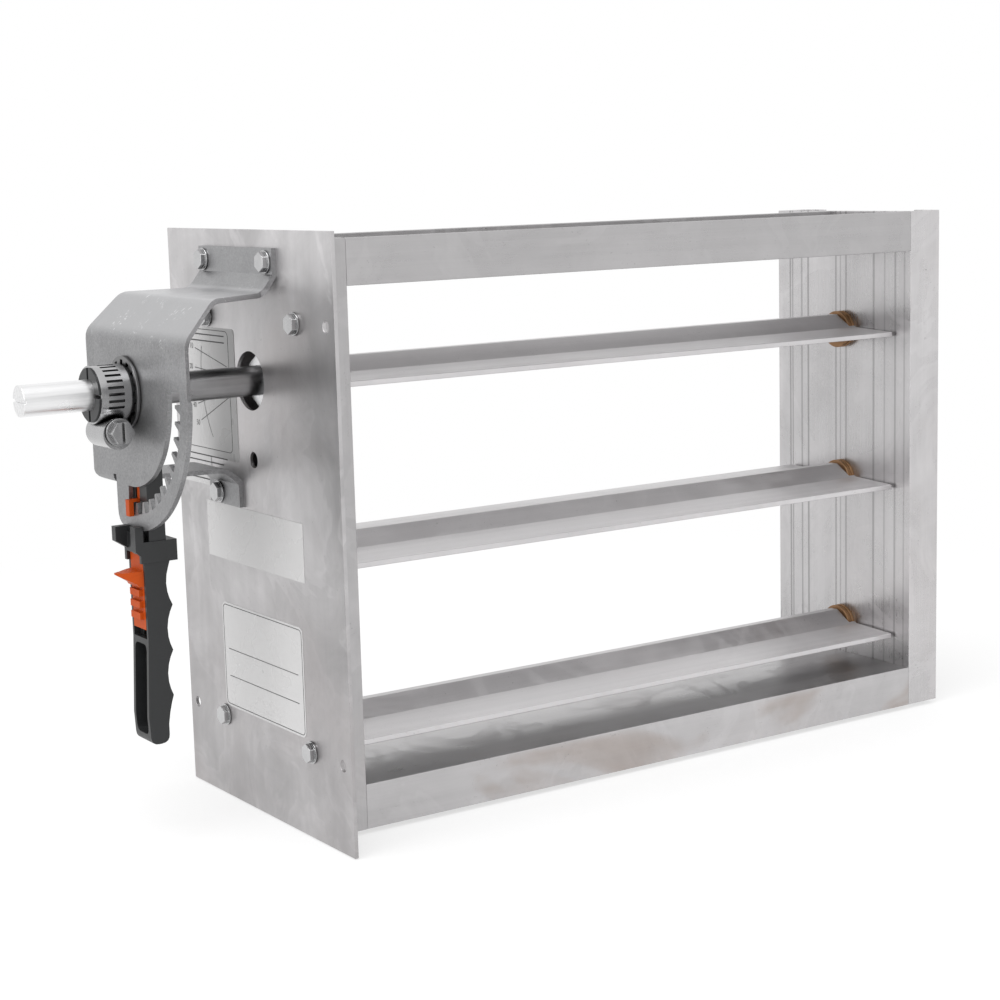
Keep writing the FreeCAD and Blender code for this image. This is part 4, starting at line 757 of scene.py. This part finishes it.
class DAMPER_OT_stage(bpy.types.Operator):
    """Camera, floor, lamps and room light."""

    bl_idname = "damper.stage"
    bl_label = "Stage"

    def execute(self, context):
        scene = context.scene
        values = scene.damper_stage
        scene.view_settings.view_transform = "Standard"
        camera = bpy.data.cameras.new("camera")
        camera.lens = values.lens
        camera.sensor_width = 36
        camera.sensor_fit = "HORIZONTAL"
        camera.shift_x, camera.shift_y = VIEW_SHIFT
        camera.clip_start = 0.01
        camera.clip_end = 60
        eye = bpy.data.objects.new("camera", camera)
        scene.collection.objects.link(eye)
        eye.location = VIEW_FROM
        eye.rotation_euler = np.radians(VIEW_ANGLES)
        scene.camera = eye
        low = CAD_BOX[0]
        bpy.ops.mesh.primitive_plane_add(size=12, location=(0.1, 0, low.z - values.floor_drop))
        floor = context.object
        floor.name = "floor"
        paint = Paint("floor_paint")
        ray = background_rays(paint)
        fine = paint.noise(40, 2)
        tint = paint.mix(fine, [c * 0.995 for c in values.floor_colour], values.floor_colour)
        shell = paint.node("ShaderNodeBsdfPrincipled", {},
                           {"Base Color": tint, "Roughness": 0.85,
                            "Specular IOR Level": 0.1})
        glow = paint.node("ShaderNodeEmission", {}, {"Color": (1, 1, 1, 1), "Strength": 1.0})
        along = paint.axis("X")
        across = paint.axis("Y")
        far = (along * along + across * across).step(0.06, 0.42)
        blend = paint.node("ShaderNodeMixShader", {},
                           {0: ray * (far * 0.36 + 0.64), 1: shell, 2: glow})
        paint.node("ShaderNodeOutputMaterial", {}, {"Surface": blend})
        floor.data.materials.append(paint.material)
        world = scene.world or bpy.data.worlds.new("room")
        scene.world = world
        room = Paint("room", world)
        level = values.world_level
        back = room.node("ShaderNodeBackground", {},
                         {"Color": (1, 1, 1, 1),
                          "Strength": background_rays(room) * (1.0 - level) + level})
        room.node("ShaderNodeOutputWorld", {}, {"Surface": back})
        aim = Vector((0.15, 0.0, 0.0))
        for name, spot, size, power in (
            ("lamp_key", (-0.55, -0.45, 1.9), 1.3, values.key_power),
            ("lamp_fill", (-1.5, -0.2, 0.5), 1.2, values.fill_power),
        ):
            lamp = bpy.data.lights.new(name, "AREA")
            lamp.shape = "SQUARE"
            lamp.size = size
            lamp.energy = power
            holder = bpy.data.objects.new(name, lamp)
            scene.collection.objects.link(holder)
            holder.location = spot
            look = aim - Vector(spot)
            holder.rotation_mode = "QUATERNION"
            holder.rotation_quaternion = look.to_track_quat("-Z", "Y")
        return {"FINISHED"}


JOBS = (
    DAMPER_OT_sheets, DAMPER_OT_bracket, DAMPER_OT_shafts, DAMPER_OT_handle,
    DAMPER_OT_clamp, DAMPER_OT_screws, DAMPER_OT_labels, DAMPER_OT_prints, DAMPER_OT_stage,
)


class DAMPER_PT_panel(bpy.types.Panel):
    """Lists the damper's operators and settings."""

    bl_idname = "DAMPER_PT_panel"
    bl_label = "Balancing damper"
    bl_space_type = "VIEW_3D"
    bl_region_type = "UI"
    bl_category = "Damper"

    def draw(self, context):
        for settings in (context.scene.damper_finish, context.scene.damper_stage):
            for key in settings.__annotations__:
                self.layout.prop(settings, key)
        for job in JOBS:
            self.layout.operator(job.bl_idname)


CLASSES = (DamperFinish, DamperStage, *JOBS, DAMPER_PT_panel)


def register():
    for item in CLASSES:
        bpy.utils.register_class(item)
    bpy.types.Scene.damper_finish = bpy.props.PointerProperty(type=DamperFinish)
    bpy.types.Scene.damper_stage = bpy.props.PointerProperty(type=DamperStage)


def unregister():
    del bpy.types.Scene.damper_stage
    del bpy.types.Scene.damper_finish
    for item in reversed(CLASSES):
        bpy.utils.unregister_class(item)


def main():
    """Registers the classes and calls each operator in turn."""
    register()
    for job in JOBS:
        group, name = job.bl_idname.split(".")
        getattr(getattr(bpy.ops, group), name)()


if __name__ == "__main__":
    main()
